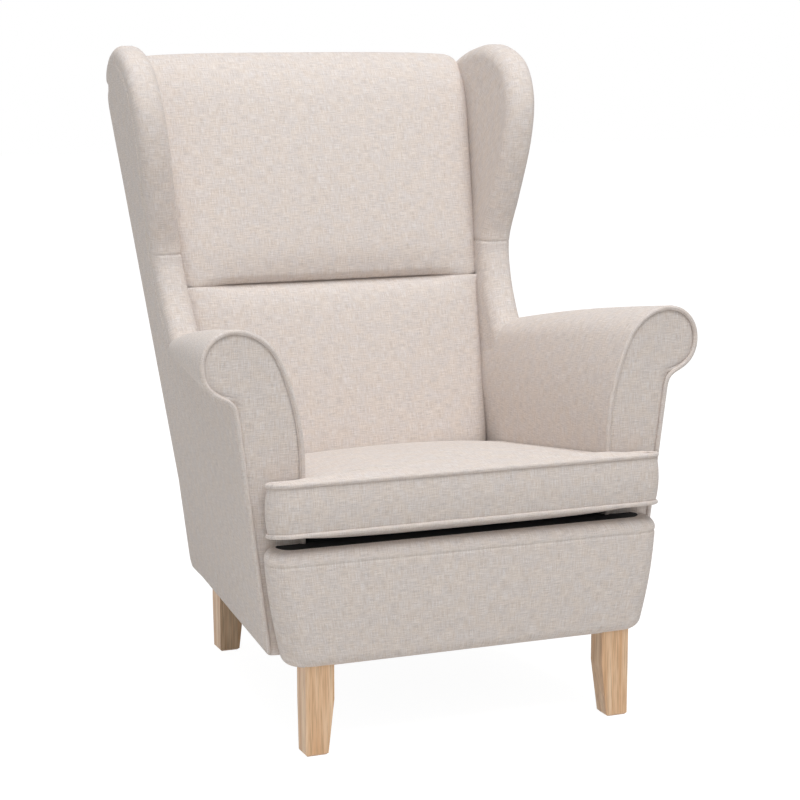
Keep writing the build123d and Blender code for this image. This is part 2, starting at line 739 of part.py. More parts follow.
# Front border: foam round the front rail, with its cover open towards the arms
LEG_ROOM = LEG_FRONT_W + 2 * DUST_LEG_GAP
LEG_ROOM_D = LEG_FRONT_D + 2 * DUST_LEG_GAP
with BuildPart() as leg_room:
    for x, y, z in LEG_TOPS[:2]:
        with Locations((x, y, z)):
            Box(LEG_ROOM, LEG_ROOM_D, 2 * (FRONT_RAIL_LOW - BORDER_LOW))

border_outer = border_form(0.0, ARM_FRONT - SOFT_GAP)
border_hollow = border_form(COVER_T, ARM_FRONT + COVER_T)
border_core = border_form(SKIN, ARM_FRONT - SOFT_GAP)

with BuildPart() as front_border_cover:
    add(border_outer)
    add(border_hollow, mode=Mode.SUBTRACT)
    add(leg_room.part, mode=Mode.SUBTRACT)

with BuildPart() as front_border_foam:
    add(border_core)
    with BuildSketch(Plane.XY.offset(FRONT_RAIL_LOW)):
        with Locations((0, BOARD_FRONT - FRONT_RAIL_T / 2)):
            Rectangle(2 * RAIL_HALF, FRONT_RAIL_T)
    extrude(amount=FRONT_RAIL_HIGH - FRONT_RAIL_LOW, mode=Mode.SUBTRACT)
    with BuildSketch(Plane.XY.offset(FRONT_RAIL_HIGH)):
        with Locations((0, SPRING_FRONT - CLIP_L)):
            Rectangle(2 * ARM_INNER, 2 * CLIP_L, align=(Align.CENTER, Align.MIN))
    extrude(amount=REACH, mode=Mode.SUBTRACT)
    add(leg_room.part, mode=Mode.SUBTRACT)

# Arms: foam over the inner side and the roll, its cover, the front facing and the welt round it
ARM_LOW = SIDE_RAIL_HIGH
arm_outer = arm_form(0.0, PANEL_T + SOFT_GAP, ARM_LOW, BOARD_FRONT, ARM_REAR)
arm_hollow = arm_form(-COVER_T, OPEN_SIDE, ARM_LOW - END_OVER, BOARD_FRONT - END_OVER, ARM_REAR + END_OVER)
arm_core = arm_form(-SKIN, PANEL_T + 2 * SOFT_GAP, ARM_LOW, BOARD_REAR, ARM_REAR)

with BuildPart() as right_arm_cover:
    add(arm_outer)
    add(arm_hollow, mode=Mode.SUBTRACT)
    add(behind_arms, mode=Mode.SUBTRACT)

with BuildPart() as left_arm_cover:
    mirror(right_arm_cover.part, about=Plane.YZ)

with BuildPart() as right_arm_foam:
    add(arm_core)
    with BuildSketch(Plane.YZ.offset(ARM_INNER + COVER_T + ARM_PAD_T)):
        with BuildLine():
            Polyline((BOARD_REAR, ARM_LOW), (BACK_Y - ARM_PAD_T, ARM_LOW), (BACK_Y - ARM_PAD_T, ARM_RAIL_LOW),
                     (BOARD_REAR, ARM_RAIL_LOW), close=True)
        make_face()
    extrude(amount=REACH, mode=Mode.SUBTRACT)
    add(behind_arms, mode=Mode.SUBTRACT)
    add(right_arm_rail.part, mode=Mode.SUBTRACT)
    add(right_arm_cover.part, mode=Mode.SUBTRACT)

with BuildPart() as left_arm_foam:
    mirror(right_arm_foam.part, about=Plane.YZ)

facing_inset = WELT_INSET + WELT_R + SOFT_GAP
facing_outline = arm_sketch(ARM_FRONT, -facing_inset, facing_inset, FACING_LOW)

with BuildPart() as right_arm_facing:
    extrude(facing_outline, amount=FACING_T, dir=(0, 1, 0))

with BuildPart() as left_arm_facing:
    mirror(right_arm_facing.part, about=Plane.YZ)

welt_points = arm_points(ARM_FRONT, -WELT_INSET, WELT_INSET, FACING_LOW)
welt_plane = Plane.XZ.offset(-ARM_FRONT)

with BuildPart() as right_arm_welt:
    with BuildLine(welt_plane) as roll_path:
        arm_roll(welt_points)
    with BuildSketch(Plane(origin=roll_path.line @ 0, z_dir=roll_path.line % 0)):
        Circle(WELT_R)
    sweep(path=roll_path.line)
    with BuildLine(welt_plane) as side_path:
        Line(welt_points[5], welt_points[6])
    with BuildSketch(Plane(origin=side_path.line @ 0, z_dir=side_path.line % 0)):
        Circle(WELT_R)
    sweep(path=side_path.line)
    with Locations(side_path.line @ 0):
        Sphere(WELT_R)

with BuildPart() as left_arm_welt:
    mirror(right_arm_welt.part, about=Plane.YZ)

# Wings: foam round the wing board, with a cover over the inner face, the front and the top
cover_outline = wing_sketch(0.0, PANEL_T + SOFT_GAP, WING_LOW)
hollow_outline = wing_sketch(COVER_T, OPEN_SIDE, WING_LOW - END_OVER)
core_outline = wing_sketch(SKIN, PANEL_T + SOFT_GAP, WING_LOW)
within_wing_foam = between_sides(WING_T - SKIN)
wing_outer = side_slab(cover_outline, within_panel_soft, within_wings)
wing_hollow = side_slab(hollow_outline, within_sides, within_wing_cover)
wing_core = side_slab(core_outline, within_panel_soft, within_wing_foam)

with BuildPart() as wing_hollow_round:
    add(wing_hollow)
    fillet(wing_hollow_round.edges().filter_by(lambda edge: on_inner_face(edge, WING_T - COVER_T)),
           WING_R - COVER_T)

with BuildPart() as right_wing_cover:
    add(wing_outer)
    fillet(right_wing_cover.edges().filter_by(lambda edge: on_inner_face(edge, WING_T)), WING_R)
    add(wing_hollow_round.part, mode=Mode.SUBTRACT)
    add(arm_room, mode=Mode.SUBTRACT)
    add(back_core, mode=Mode.SUBTRACT)

with BuildPart() as left_wing_cover:
    mirror(right_wing_cover.part, about=Plane.YZ)

with BuildPart() as right_wing_foam:
    add(wing_core)
    fillet(right_wing_foam.edges().filter_by(lambda edge: on_inner_face(edge, WING_T - SKIN)), WING_R - SKIN)
    add(arm_room, mode=Mode.SUBTRACT)
    add(back_core, mode=Mode.SUBTRACT)
    add(right_wing_board.part, mode=Mode.SUBTRACT)
    add(right_arm_rail.part, mode=Mode.SUBTRACT)

with BuildPart() as left_wing_foam:
    mirror(right_wing_foam.part, about=Plane.YZ)

# Outside panels: each side in one piece from the wing to the bottom edge, and the back
panel_front = wing_points(0.0)
neck_line = NECK_Z - 2 * SOFT_GAP
with BuildSketch(Plane.YZ) as panel_outline:
    with BuildLine():
        panel_top = (rear_y(REAR_TOP_Z), REAR_TOP_Z)
        Polyline((BOARD_FRONT, BASE_Z), (BOARD_FRONT, neck_line), (panel_front[0][0], neck_line),
                 panel_front[0])
        Spline(*panel_front)
        TangentArc(panel_front[-1], panel_top, tangent=(1, 0))
        Polyline(panel_top, knee(0.0), (REAR_Y, BASE_Z + REAR_R))
        RadiusArc((REAR_Y, BASE_Z + REAR_R), (REAR_Y - REAR_R, BASE_Z), REAR_R)
        Line((REAR_Y - REAR_R, BASE_Z), (BOARD_FRONT, BASE_Z))
    make_face()
panel_slab = side_slab(panel_outline.sketch, within_sides, within_panel)

with BuildPart() as right_outside_panel:
    add(panel_slab)
    add(arm_room, mode=Mode.SUBTRACT)

with BuildPart() as left_outside_panel:
    mirror(right_outside_panel.part, about=Plane.YZ)

with BuildPart() as outside_back_panel:
    with BuildSketch(Plane.YZ):
        with BuildLine():
            turn = BASE_Z + REAR_R
            inner_top = (rear_y(REAR_TOP_Z, PANEL_T), REAR_TOP_Z)
            RadiusArc((REAR_Y - REAR_R, BASE_Z), (REAR_Y, turn), -REAR_R)
            Polyline((REAR_Y, turn), knee(0.0), panel_top, inner_top, knee(PANEL_T), (REAR_Y - PANEL_T, turn))
            RadiusArc((REAR_Y - PANEL_T, turn), (REAR_Y - REAR_R, BASE_Z + PANEL_T), REAR_R - PANEL_T)
            Line((REAR_Y - REAR_R, BASE_Z + PANEL_T), (REAR_Y - REAR_R, BASE_Z))
        make_face()
    extrude(amount=REACH, both=True)
    add(within_panel, mode=Mode.INTERSECT)

# Back pads: crowned foam in front of the webbing, with covers over the front and the top
PAD_SKINS = ((0.0, 0.0), (COVER_T, END_OVER), (SKIN, 0.0))
lower_outer, lower_hollow, lower_core = [pad_form(LOWER_PAD, inset, over) for inset, over in PAD_SKINS]
upper_outer, upper_hollow, upper_core = [pad_form(UPPER_PAD, inset, over) for inset, over in PAD_SKINS]

with BuildPart() as lower_back_cover:
    add(lower_outer)
    add(within_pads, mode=Mode.INTERSECT)
    add(lower_hollow, mode=Mode.SUBTRACT)
    add(back_core, mode=Mode.SUBTRACT)

with BuildPart() as lower_back_foam:
    add(lower_core)
    add(within_pads, mode=Mode.INTERSECT)
    add(back_core, mode=Mode.SUBTRACT)

with BuildPart() as upper_back_cover:
    add(upper_outer)
    add(within_pads, mode=Mode.INTERSECT)
    add(upper_hollow, mode=Mode.SUBTRACT)
    add(back_core, mode=Mode.SUBTRACT)

with BuildPart() as upper_back_foam:
    add(upper_core)
    add(within_pads, mode=Mode.INTERSECT)
    add(back_core, mode=Mode.SUBTRACT)

# Seat cushion: foam in a cover that opens at a zip along the rear, piped above and below
cushion_outer = cushion_form(0.0)
cushion_hollow = cushion_form(COVER_T)
cushion_core = cushion_form(SKIN)
top_piping = cushion_welt(CUSHION_HIGH)
bottom_piping = cushion_welt(CUSHION_LOW)
ZIP_Z = (CUSHION_LOW + CUSHION_HIGH) / 2 - SLOPE * (CUSHION_REAR - CUSHION_FRONT)
ZIP_REAR = CUSHION_REAR - CUSHION_WAIST

with BuildPart() as seat_cushion_cover:
    add(cushion_outer)
    add(cushion_hollow, mode=Mode.SUBTRACT)
    with Locations((0, CUSHION_REAR, ZIP_Z)):
        Box(ZIP_W, 2 * (CUSHION_WAIST + SKIN), ZIP_H, mode=Mode.SUBTRACT)

with BuildPart() as seat_cushion_foam:
    add(cushion_core)

with BuildPart() as seat_cushion_top_welt:
    add(top_piping)

with BuildPart() as seat_cushion_bottom_welt:
    add(bottom_piping)

with BuildPart() as seat_cushion_zip:
    with Locations((0, ZIP_REAR - ZIP_T / 2, ZIP_Z)):
        Box(ZIP_W - 2 * SOFT_GAP, ZIP_T, ZIP_H - 2 * SOFT_GAP)
    with Locations(((ZIP_W - PULL_L) / 2 - SOFT_GAP, ZIP_REAR, ZIP_Z)):
        Box(PULL_L, ZIP_T, PULL_W, align=(Align.CENTER, Align.MIN, Align.CENTER))

PIECES = {
    "front_right_leg": front_right_leg, "front_left_leg": front_left_leg,
    "rear_right_leg": rear_right_leg, "rear_left_leg": rear_left_leg,
    "leg_plates": leg_plates, "leg_bolts": leg_bolts, "frame_bolts": frame_bolts,
    "front_seat_rail": front_seat_rail, "rear_seat_rail": rear_seat_rail,
    "right_seat_rail": right_seat_rail, "left_seat_rail": left_seat_rail, "corner_blocks": corner_blocks,
    "right_back_post": right_back_post, "left_back_post": left_back_post,
    "back_top_rail": back_top_rail, "back_lumbar_rail": back_lumbar_rail, "back_webbing": back_webbing,
    "right_arm_front_board": right_arm_front_board, "left_arm_front_board": left_arm_front_board,
    "right_arm_rail": right_arm_rail, "left_arm_rail": left_arm_rail,
    "right_wing_board": right_wing_board, "left_wing_board": left_wing_board,
    "seat_springs": seat_springs, "spring_clips": spring_clips,
    "seat_deck": seat_deck, "dust_cover": dust_cover,
    "front_border_cover": front_border_cover, "front_border_foam": front_border_foam,
    "right_arm_cover": right_arm_cover, "left_arm_cover": left_arm_cover,
    "right_arm_foam": right_arm_foam, "left_arm_foam": left_arm_foam,
    "right_arm_facing": right_arm_facing, "left_arm_facing": left_arm_facing,
    "right_arm_welt": right_arm_welt, "left_arm_welt": left_arm_welt,
    "right_wing_cover": right_wing_cover, "left_wing_cover": left_wing_cover,
    "right_wing_foam": right_wing_foam, "left_wing_foam": left_wing_foam,
    "right_outside_panel": right_outside_panel, "left_outside_panel": left_outside_panel,
    "outside_back_panel": outside_back_panel,
    "lower_back_cover": lower_back_cover, "lower_back_foam": lower_back_foam,
    "upper_back_cover": upper_back_cover, "upper_back_foam": upper_back_foam,
    "seat_cushion_cover": seat_cushion_cover, "seat_cushion_foam": seat_cushion_foam,
    "seat_cushion_top_welt": seat_cushion_top_welt, "seat_cushion_bottom_welt": seat_cushion_bottom_welt,
    "seat_cushion_zip": seat_cushion_zip,
}

for node, piece in PIECES.items():
    piece.part.label = node
    export_step(piece.part, f"parts/{node}.step")
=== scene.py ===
import bmesh
import bpy
import numpy as np
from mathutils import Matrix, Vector


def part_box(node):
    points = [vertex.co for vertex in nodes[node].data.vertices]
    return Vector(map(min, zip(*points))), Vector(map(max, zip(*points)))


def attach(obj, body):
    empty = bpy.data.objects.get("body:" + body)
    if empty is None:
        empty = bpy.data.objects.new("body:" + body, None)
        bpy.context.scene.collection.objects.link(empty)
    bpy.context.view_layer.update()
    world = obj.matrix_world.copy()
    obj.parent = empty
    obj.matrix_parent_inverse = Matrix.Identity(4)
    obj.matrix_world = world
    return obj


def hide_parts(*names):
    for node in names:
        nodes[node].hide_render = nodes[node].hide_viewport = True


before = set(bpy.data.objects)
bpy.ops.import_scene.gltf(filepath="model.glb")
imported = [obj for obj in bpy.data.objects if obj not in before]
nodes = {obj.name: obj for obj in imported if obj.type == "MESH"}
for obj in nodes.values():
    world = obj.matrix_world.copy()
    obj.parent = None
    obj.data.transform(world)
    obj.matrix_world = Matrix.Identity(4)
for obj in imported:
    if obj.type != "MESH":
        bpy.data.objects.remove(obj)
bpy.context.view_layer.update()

# Legs: four tapered posts of solid ash, sanded, with eased edges, under a thin satin lacquer.
# Each is screwed up into the seat frame on a bolt, so its top ends in a dark line below the cloth.
LEGS = ("front_right_leg", "front_left_leg", "rear_right_leg", "rear_left_leg")
LEG_EDGE = 0.0022
LEG_EDGE_STEPS = 3
LEG_EDGE_ANGLE = 0.4
LEG_WELD = 0.00002
# Pores of wood are about 0.3 mm wide, and are drawn five times as wide, so that they show.
PORE = 0.0016
PORE_LENGTH = 0.045
PORE_RELIEF = 0.0004
FIGURE = 0.011
FIGURE_LENGTH = 0.26
FIGURE_STOPS = (0.34, 0.5, 0.62)


def srgb(code):
    """Linear RGBA of an sRGB hex colour, by the sRGB curve: straight near black, then a power of 2.4."""
    channels = np.array([int(code[i:i + 2], 16) for i in (1, 3, 5)]) / 255
    linear = np.where(channels <= 0.04045, channels / 12.92, ((channels + 0.055) / 1.055) ** 2.4)
    return (*linear.tolist(), 1.0)


def wire(tree, node, inputs):
    """Sets a node's inputs: a plain value goes on the socket, and another node's socket is linked to it."""
    for name, value in inputs.items():
        if isinstance(value, bpy.types.NodeSocket):
            tree.links.new(value, node.inputs[name])
        else:
            node.inputs[name].default_value = value


def add(tree, kind, inputs=None, stops=(), **settings):
    """Adds a node with its settings and inputs. Stops are a colour ramp's (place, hex colour) pairs."""
    made = tree.nodes.new(kind)
    for name, value in settings.items():
        setattr(made, name, value)
    wire(tree, made, inputs or {})
    if stops:
        band = made.color_ramp.elements
        while len(band) < len(stops):
            band.new(0.5)
        for element, (place, code) in zip(band, stops):
            element.position = place
            element.color = srgb(code)
    return made


def finish_of(name, sockets):
    """New material with its tree and its Principled shader, whose plain sockets are set."""
    finish = bpy.data.materials.new(name)
    finish.use_nodes = True
    tree = finish.node_tree
    shader = tree.nodes["Principled BSDF"]
    wire(tree, shader, sockets)
    return finish, tree, shader


def sawn_wood(name, along, tones, roughness):
    """Straight-grained wood: narrow pores that are long in the grain, multiplied over a broad slow figure."""
    finish, tree, shader = finish_of(name, {"Roughness": roughness, "IOR": 1.5})
    place = add(tree, "ShaderNodeTexCoord")
    fine = [1 / PORE] * 3
    fine[along] = 1 / PORE_LENGTH
    broad = [1 / FIGURE] * 3
    broad[along] = 1 / FIGURE_LENGTH
    pores = add(tree, "ShaderNodeMapping", {"Vector": place.outputs["Object"], "Scale": fine})
    rings = add(tree, "ShaderNodeMapping", {"Vector": place.outputs["Object"], "Scale": broad})
    pore = add(tree, "ShaderNodeTexNoise", {"Vector": pores.outputs["Vector"], "Scale": 1.0, "Detail": 2.0})
    ring = add(tree, "ShaderNodeTexNoise", {"Vector": rings.outputs["Vector"], "Scale": 1.0, "Detail": 4.0,
                                            "Distortion": 0.6})
    tone = add(tree, "ShaderNodeValToRGB", {"Fac": ring.outputs["Fac"]},
               stops=tuple(zip(FIGURE_STOPS, tones)))
    streak = add(tree, "ShaderNodeValToRGB", {"Fac": pore.outputs["Fac"]},
                 stops=((0.34, "#d6cfc7"), (0.55, "#ffffff")))
    colour = add(tree, "ShaderNodeMixRGB", {"Fac": 0.75, "Color1": tone.outputs["Color"],
                                            "Color2": streak.outputs["Color"]}, blend_type="MULTIPLY")
    relief = add(tree, "ShaderNodeBump", {"Height": pore.outputs["Fac"], "Strength": 0.12,
                                          "Distance": PORE_RELIEF})
    wire(tree, shader, {"Base Color": colour.outputs["Color"], "Normal": relief.outputs["Normal"]})
    return finish


# Ash under lacquer: pale honey colour, long fine pores and a soft even gloss.
leg_ash = sawn_wood("lacquered_ash", 2, ("#dcaf84", "#e7c19b", "#efcfad"), 0.42)
for name in LEGS:
    leg = nodes[name]
    leg.material_slots[0].material = leg_ash
    welded = leg.modifiers.new("joined", "WELD")
    welded.merge_threshold = LEG_WELD
    sanded = leg.modifiers.new("eased_edges", "BEVEL")
    sanded.width = LEG_EDGE
    sanded.segments = LEG_EDGE_STEPS
    sanded.limit_method = "ANGLE"
    sanded.angle_limit = LEG_EDGE_ANGLE

# Frame: rails, posts and boards of sawn pine inside the upholstery, with zinc-plated bolts, plates and
# spring steel. The joints are glued and bolted. None of it shows, but it carries the foam and the cloth.
PINE_UP = ("right_back_post", "left_back_post", "right_arm_front_board", "left_arm_front_board",
           "right_wing_board", "left_wing_board", "corner_blocks")
PINE_ACROSS = ("front_seat_rail", "rear_seat_rail", "back_top_rail", "back_lumbar_rail")
PINE_DEEP = ("right_seat_rail", "left_seat_rail", "right_arm_rail", "left_arm_rail")
STEEL = ("leg_plates", "leg_bolts", "frame_bolts", "seat_springs", "spring_clips")
SPANGLE = 0.004

# Sawn pine: yellow and dull, with a strong figure along each piece, since it is left bare.
for names, along in ((PINE_ACROSS, 0), (PINE_DEEP, 1), (PINE_UP, 2)):
    pine = sawn_wood(f"sawn_pine_{'xyz'[along]}", along, ("#b98f5c", "#cfae7b", "#dcc08f"), 0.75)
    for name in names:
        nodes[name].material_slots[0].material = pine

# Zinc plate: grey metal with faint patches a few millimetres wide, neither bright nor dull.
zinc, tree, shader = finish_of("zinc_plated_steel", {"Metallic": 1.0})
place = add(tree, "ShaderNodeTexCoord")
patch = add(tree, "ShaderNodeTexNoise", {"Vector": place.outputs["Object"], "Scale": 1 / SPANGLE,
                                         "Detail": 3.0})
tint = add(tree, "ShaderNodeValToRGB", {"Fac": patch.outputs["Fac"]},
           stops=((0.35, "#8f9194"), (0.65, "#b4b6b8")))
gloss = add(tree, "ShaderNodeMapRange", {"Value": patch.outputs["Fac"], "To Min": 0.28, "To Max": 0.45})
wire(tree, shader, {"Base Color": tint.outputs["Color"], "Roughness": gloss.outputs["Result"]})
for name in STEEL:
    nodes[name].material_slots[0].material = zinc

# Back webbing: jute straps pulled tight over the back frame, behind the foam, and tacked at both ends.
# Jute gives the eye coarse brown threads about 2 mm wide, uneven and without gloss.
STRAP_THREAD = 0.002
STRAP_STRETCH = 0.12
STRAP_RELIEF = 0.0006
jute, tree, shader = finish_of("jute_webbing", {"Roughness": 0.95})
place = add(tree, "ShaderNodeTexCoord")
strap_scale = (STRAP_STRETCH / STRAP_THREAD, 1 / STRAP_THREAD, 1 / STRAP_THREAD)
weave = add(tree, "ShaderNodeMapping", {"Vector": place.outputs["Object"], "Scale": strap_scale})
thread = add(tree, "ShaderNodeTexNoise", {"Vector": weave.outputs["Vector"], "Scale": 1.0, "Detail": 2.0})
tint = add(tree, "ShaderNodeValToRGB", {"Fac": thread.outputs["Fac"]},
           stops=((0.3, "#7d6446"), (0.7, "#a88b63")))
relief = add(tree, "ShaderNodeBump", {"Height": thread.outputs["Fac"], "Strength": 0.4,
                                      "Distance": STRAP_RELIEF})
wire(tree, shader, {"Base Color": tint.outputs["Color"], "Normal": relief.outputs["Normal"]})
nodes["back_webbing"].material_slots[0].material = jute

# Seat deck: black non-woven cloth over a thin felt pad on the springs. It shows as the dark gap under
# the loose cushion, and it falls towards the rear as the springs do.
DECK_T = 0.02
DECK_SKIN = 0.0005
DECK_FIT = 0.998
DECK_EDGE_POWER = 0.12
DECK_TOP_POWER = 0.35
DECK_PINCH = 0.9
DECK_PINCH_POWER = 40
DECK_ROWS = 61
DECK_COLUMNS = 161
WELD = 0.00005
SLIVER = 0.00002
FIBRE = 0.0012
FIBRE_RELIEF = 0.0003
deck_low, deck_high = (np.array(corner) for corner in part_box("seat_deck"))


def surface(name, grid, uv, inside, body, wrap=False, weld=False):
    """Mesh object of a grid of points, rows by columns, smooth, with a cloth map in metres on the same grid.

    wrap joins the last column to the first, and its map then has one column more. inside is a point that
    the faces turn away from. weld merges the points that meet at poles and seams."""
    rows, columns = grid.shape[:2]
    point = np.arange(rows * columns).reshape(rows, columns)
    corner = np.arange(rows * uv.shape[1]).reshape(rows, -1)
    if wrap:
        point = np.concatenate([point, point[:, :1]], axis=1)
    around = [np.s_[:-1, :-1], np.s_[:-1, 1:], np.s_[1:, 1:], np.s_[1:, :-1]]
    quads = np.stack([point[part] for part in around], axis=-1).reshape(-1, 4)
    corners = np.stack([corner[part] for part in around], axis=-1).reshape(-1, 4)
    places = grid.reshape(-1, 3)
    middle = places[quads].mean(axis=1)
    normal = np.cross(places[quads[:, 2]] - places[quads[:, 0]], places[quads[:, 3]] - places[quads[:, 1]])
    if (normal * (middle - np.array(inside))).sum() < 0:
        quads = quads[:, ::-1]
        corners = corners[:, ::-1]
    mesh = bpy.data.meshes.new(name)
    mesh.from_pydata(places.tolist(), [], quads.tolist())
    cloth_map = mesh.uv_layers.new(name="cloth")
    cloth_map.data.foreach_set("uv", uv.reshape(-1, 2)[corners.ravel()].astype(np.float32).ravel())
    mesh.polygons.foreach_set("use_smooth", np.ones(len(mesh.polygons), dtype=bool))
    if weld:
        shell = bmesh.new()
        shell.from_mesh(mesh)
        bmesh.ops.remove_doubles(shell, verts=shell.verts, dist=WELD)
        bmesh.ops.dissolve_degenerate(shell, edges=shell.edges, dist=SLIVER)
        shell.to_mesh(mesh)
        shell.free()
    made = bpy.data.objects.new(name, mesh)
    bpy.context.scene.collection.objects.link(made)
    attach(made, body)
    return made


def deck_surface():
    """Section of the pad in y, a flat superellipse, carried across the seat, with both side edges pinched."""
    around = np.linspace(0, 2 * np.pi, DECK_COLUMNS)
    edge = np.sign(np.cos(around)) * np.abs(np.cos(around)) ** DECK_EDGE_POWER
    rise = np.sign(np.sin(around)) * np.abs(np.sin(around)) ** DECK_TOP_POWER
    across, along_deck = np.meshgrid(np.linspace(-1, 1, DECK_ROWS), edge, indexing="ij")
    share = (along_deck + 1) / 2
    pinch = 1 - DECK_PINCH * np.abs(across) ** DECK_PINCH_POWER
    fall = (deck_high[2] - deck_low[2] - DECK_T) * share
    x = across * deck_high[0] * DECK_FIT
    y = deck_low[1] + share * (deck_high[1] - deck_low[1])
    z = deck_high[2] - fall - DECK_T / 2 + rise * pinch * (DECK_T / 2 - DECK_SKIN)
    return np.stack([x, y, z], axis=-1)


# Black non-woven: flat pressed fibres without gloss. They are far finer than a millimetre, so only their
# clumps are drawn.
black_felt, tree, shader = finish_of("black_non_woven", {"Roughness": 0.97})
place = add(tree, "ShaderNodeTexCoord")
fibre = add(tree, "ShaderNodeTexNoise", {"Vector": place.outputs["Object"], "Scale": 1 / FIBRE,
                                         "Detail": 2.0})
tint = add(tree, "ShaderNodeValToRGB", {"Fac": fibre.outputs["Fac"]},
           stops=((0.35, "#0b0b0c"), (0.7, "#1c1c1e")))
relief = add(tree, "ShaderNodeBump", {"Height": fibre.outputs["Fac"], "Strength": 0.3,
                                      "Distance": FIBRE_RELIEF})
wire(tree, shader, {"Base Color": tint.outputs["Color"], "Normal": relief.outputs["Normal"]})

grid = deck_surface()
deck = surface("seat_deck_cloth", grid, grid[..., :2], grid.reshape(-1, 3).mean(axis=0), "chair")
deck.data.materials.append(black_felt)
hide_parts("seat_deck")

# Dust cover: one sheet of thin black non-woven, stapled to the underside of the seat frame. It sags a
# little between the rails and has a cut-out round each rear leg.
DUST_SAG = 0.007
DUST_LEG_GAP = 0.001
DUST_ROWS = 50
DUST_TAIL_ROWS = 8
DUST_COLUMNS = 61
DUST_ABOVE = (0, 0, 1)
dust_low, dust_high = (np.array(corner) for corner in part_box("dust_cover"))
leg_low, leg_high = (np.array(corner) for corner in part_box("rear_right_leg"))


def stapled_sheet():
    """Rows run from the front rail to the rear one, as wide as the frame, then only as wide as the gap
    between the rear legs. The sag is a sine hump in y and a cosine hump in x, nought at every edge."""
    step_y = leg_low[1] - DUST_LEG_GAP
    y = np.concatenate([np.linspace(dust_low[1], step_y, DUST_ROWS),
                        np.linspace(step_y, dust_high[1], DUST_TAIL_ROWS)])[:, None]
    share = (y - dust_low[1]) / (dust_high[1] - dust_low[1])
    half = dust_high[0] + (leg_high[0] + DUST_LEG_GAP - dust_high[0]) * share
    half = np.where(np.arange(len(y))[:, None] < DUST_ROWS, half, leg_low[0] - DUST_LEG_GAP)
    w = np.linspace(-1, 1, DUST_COLUMNS)
    slack = np.clip((y - dust_low[1]) / (step_y - dust_low[1]), 0, 1)
    z = dust_high[2] - DUST_SAG * np.sin(np.pi * slack) * np.cos(np.pi * w / 2)
    return np.stack(np.broadcast_arrays(half * w, y, z), axis=-1)


grid = stapled_sheet()
dust = surface("dust_cover_cloth", grid, grid[..., :2], DUST_ABOVE, "chair")
dust.data.materials.append(black_felt)
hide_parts("dust_cover")

# Upholstery cloth: a linen-look plain weave of mixed yarns, pale warm beige with grey and pinkish slubs.
# It gives the eye a matt cross-hatch of short threads. The real threads lie half a millimetre apart, so
# they are drawn twice as coarse to show at all.
THREAD = 0.0011
SLUB = 0.018
CROSSING = 0.0016
PATCH = 0.022
THREAD_RELIEF = 0.0004


def woven_cloth():
    """Matt cloth: two crossing sets of slubby threads that take turns on top, and a slow change of shade."""
    finish, tree, shader = finish_of("melange_linen_weave", {"Roughness": 0.93, "IOR": 1.45,
                                                             "Specular IOR Level": 0.25,
                                                             "Sheen Weight": 0.12, "Sheen Roughness": 0.45})
    place = add(tree, "ShaderNodeUVMap", uv_map="cloth").outputs["UV"]
    flat = {"noise_dimensions": "2D"}
    weft = add(tree, "ShaderNodeMapping", {"Vector": place, "Scale": (1 / SLUB, 1 / THREAD, 1.0)})
    warp = add(tree, "ShaderNodeMapping", {"Vector": place, "Scale": (1 / THREAD, 1 / SLUB, 1.0)})
    weft_yarn = add(tree, "ShaderNodeTexNoise", {"Vector": weft.outputs["Vector"], "Scale": 1.0,
                                                 "Detail": 1.0}, **flat)
    warp_yarn = add(tree, "ShaderNodeTexNoise", {"Vector": warp.outputs["Vector"], "Scale": 1.0,
                                                 "Detail": 1.0}, **flat)
    lot = add(tree, "ShaderNodeTexNoise", {"Vector": place, "Scale": 1 / PATCH, "Detail": 2.0}, **flat)
    turns = add(tree, "ShaderNodeTexNoise", {"Vector": place, "Scale": 1 / CROSSING, "Detail": 0.0}, **flat)
    weft_tint = add(tree, "ShaderNodeValToRGB", {"Fac": weft_yarn.outputs["Fac"]},
                    stops=((0.28, "#c5bebb"), (0.5, "#d9d0ca"), (0.72, "#ebe4df")))
    warp_tint = add(tree, "ShaderNodeValToRGB", {"Fac": warp_yarn.outputs["Fac"]},
                    stops=((0.28, "#ccbfb5"), (0.5, "#dbd1c9"), (0.72, "#e7e2e0")))
    on_top = add(tree, "ShaderNodeMapRange", {"Value": turns.outputs["Fac"], "From Min": 0.4, "From Max": 0.6,
                                              "To Min": 0.2, "To Max": 0.8})
    yarn = add(tree, "ShaderNodeMixRGB", {"Fac": on_top.outputs["Result"],
                                          "Color1": weft_tint.outputs["Color"],
                                          "Color2": warp_tint.outputs["Color"]})
    drift = add(tree, "ShaderNodeValToRGB", {"Fac": lot.outputs["Fac"]},
                stops=((0.38, "#fffdfb"), (0.62, "#fcfcfd")))
    colour = add(tree, "ShaderNodeMixRGB", {"Fac": 1.0, "Color1": yarn.outputs["Color"],
                                            "Color2": drift.outputs["Color"]}, blend_type="MULTIPLY")
    height = add(tree, "ShaderNodeMath", {0: weft_yarn.outputs["Fac"], 1: warp_yarn.outputs["Fac"]},
                 operation="ADD")
    relief = add(tree, "ShaderNodeBump", {"Height": height.outputs["Value"], "Strength": 0.2,
                                          "Distance": THREAD_RELIEF})
    wire(tree, shader, {"Base Color": colour.outputs["Color"], "Normal": relief.outputs["Normal"]})
    return finish


cloth = woven_cloth()


def upholster(piece, *stands_for, fill=None):
    """Gives a piece the cloth and lets it stand for its CAD nodes. fill is not used."""
    piece.data.materials.append(cloth)
    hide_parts(*stands_for)


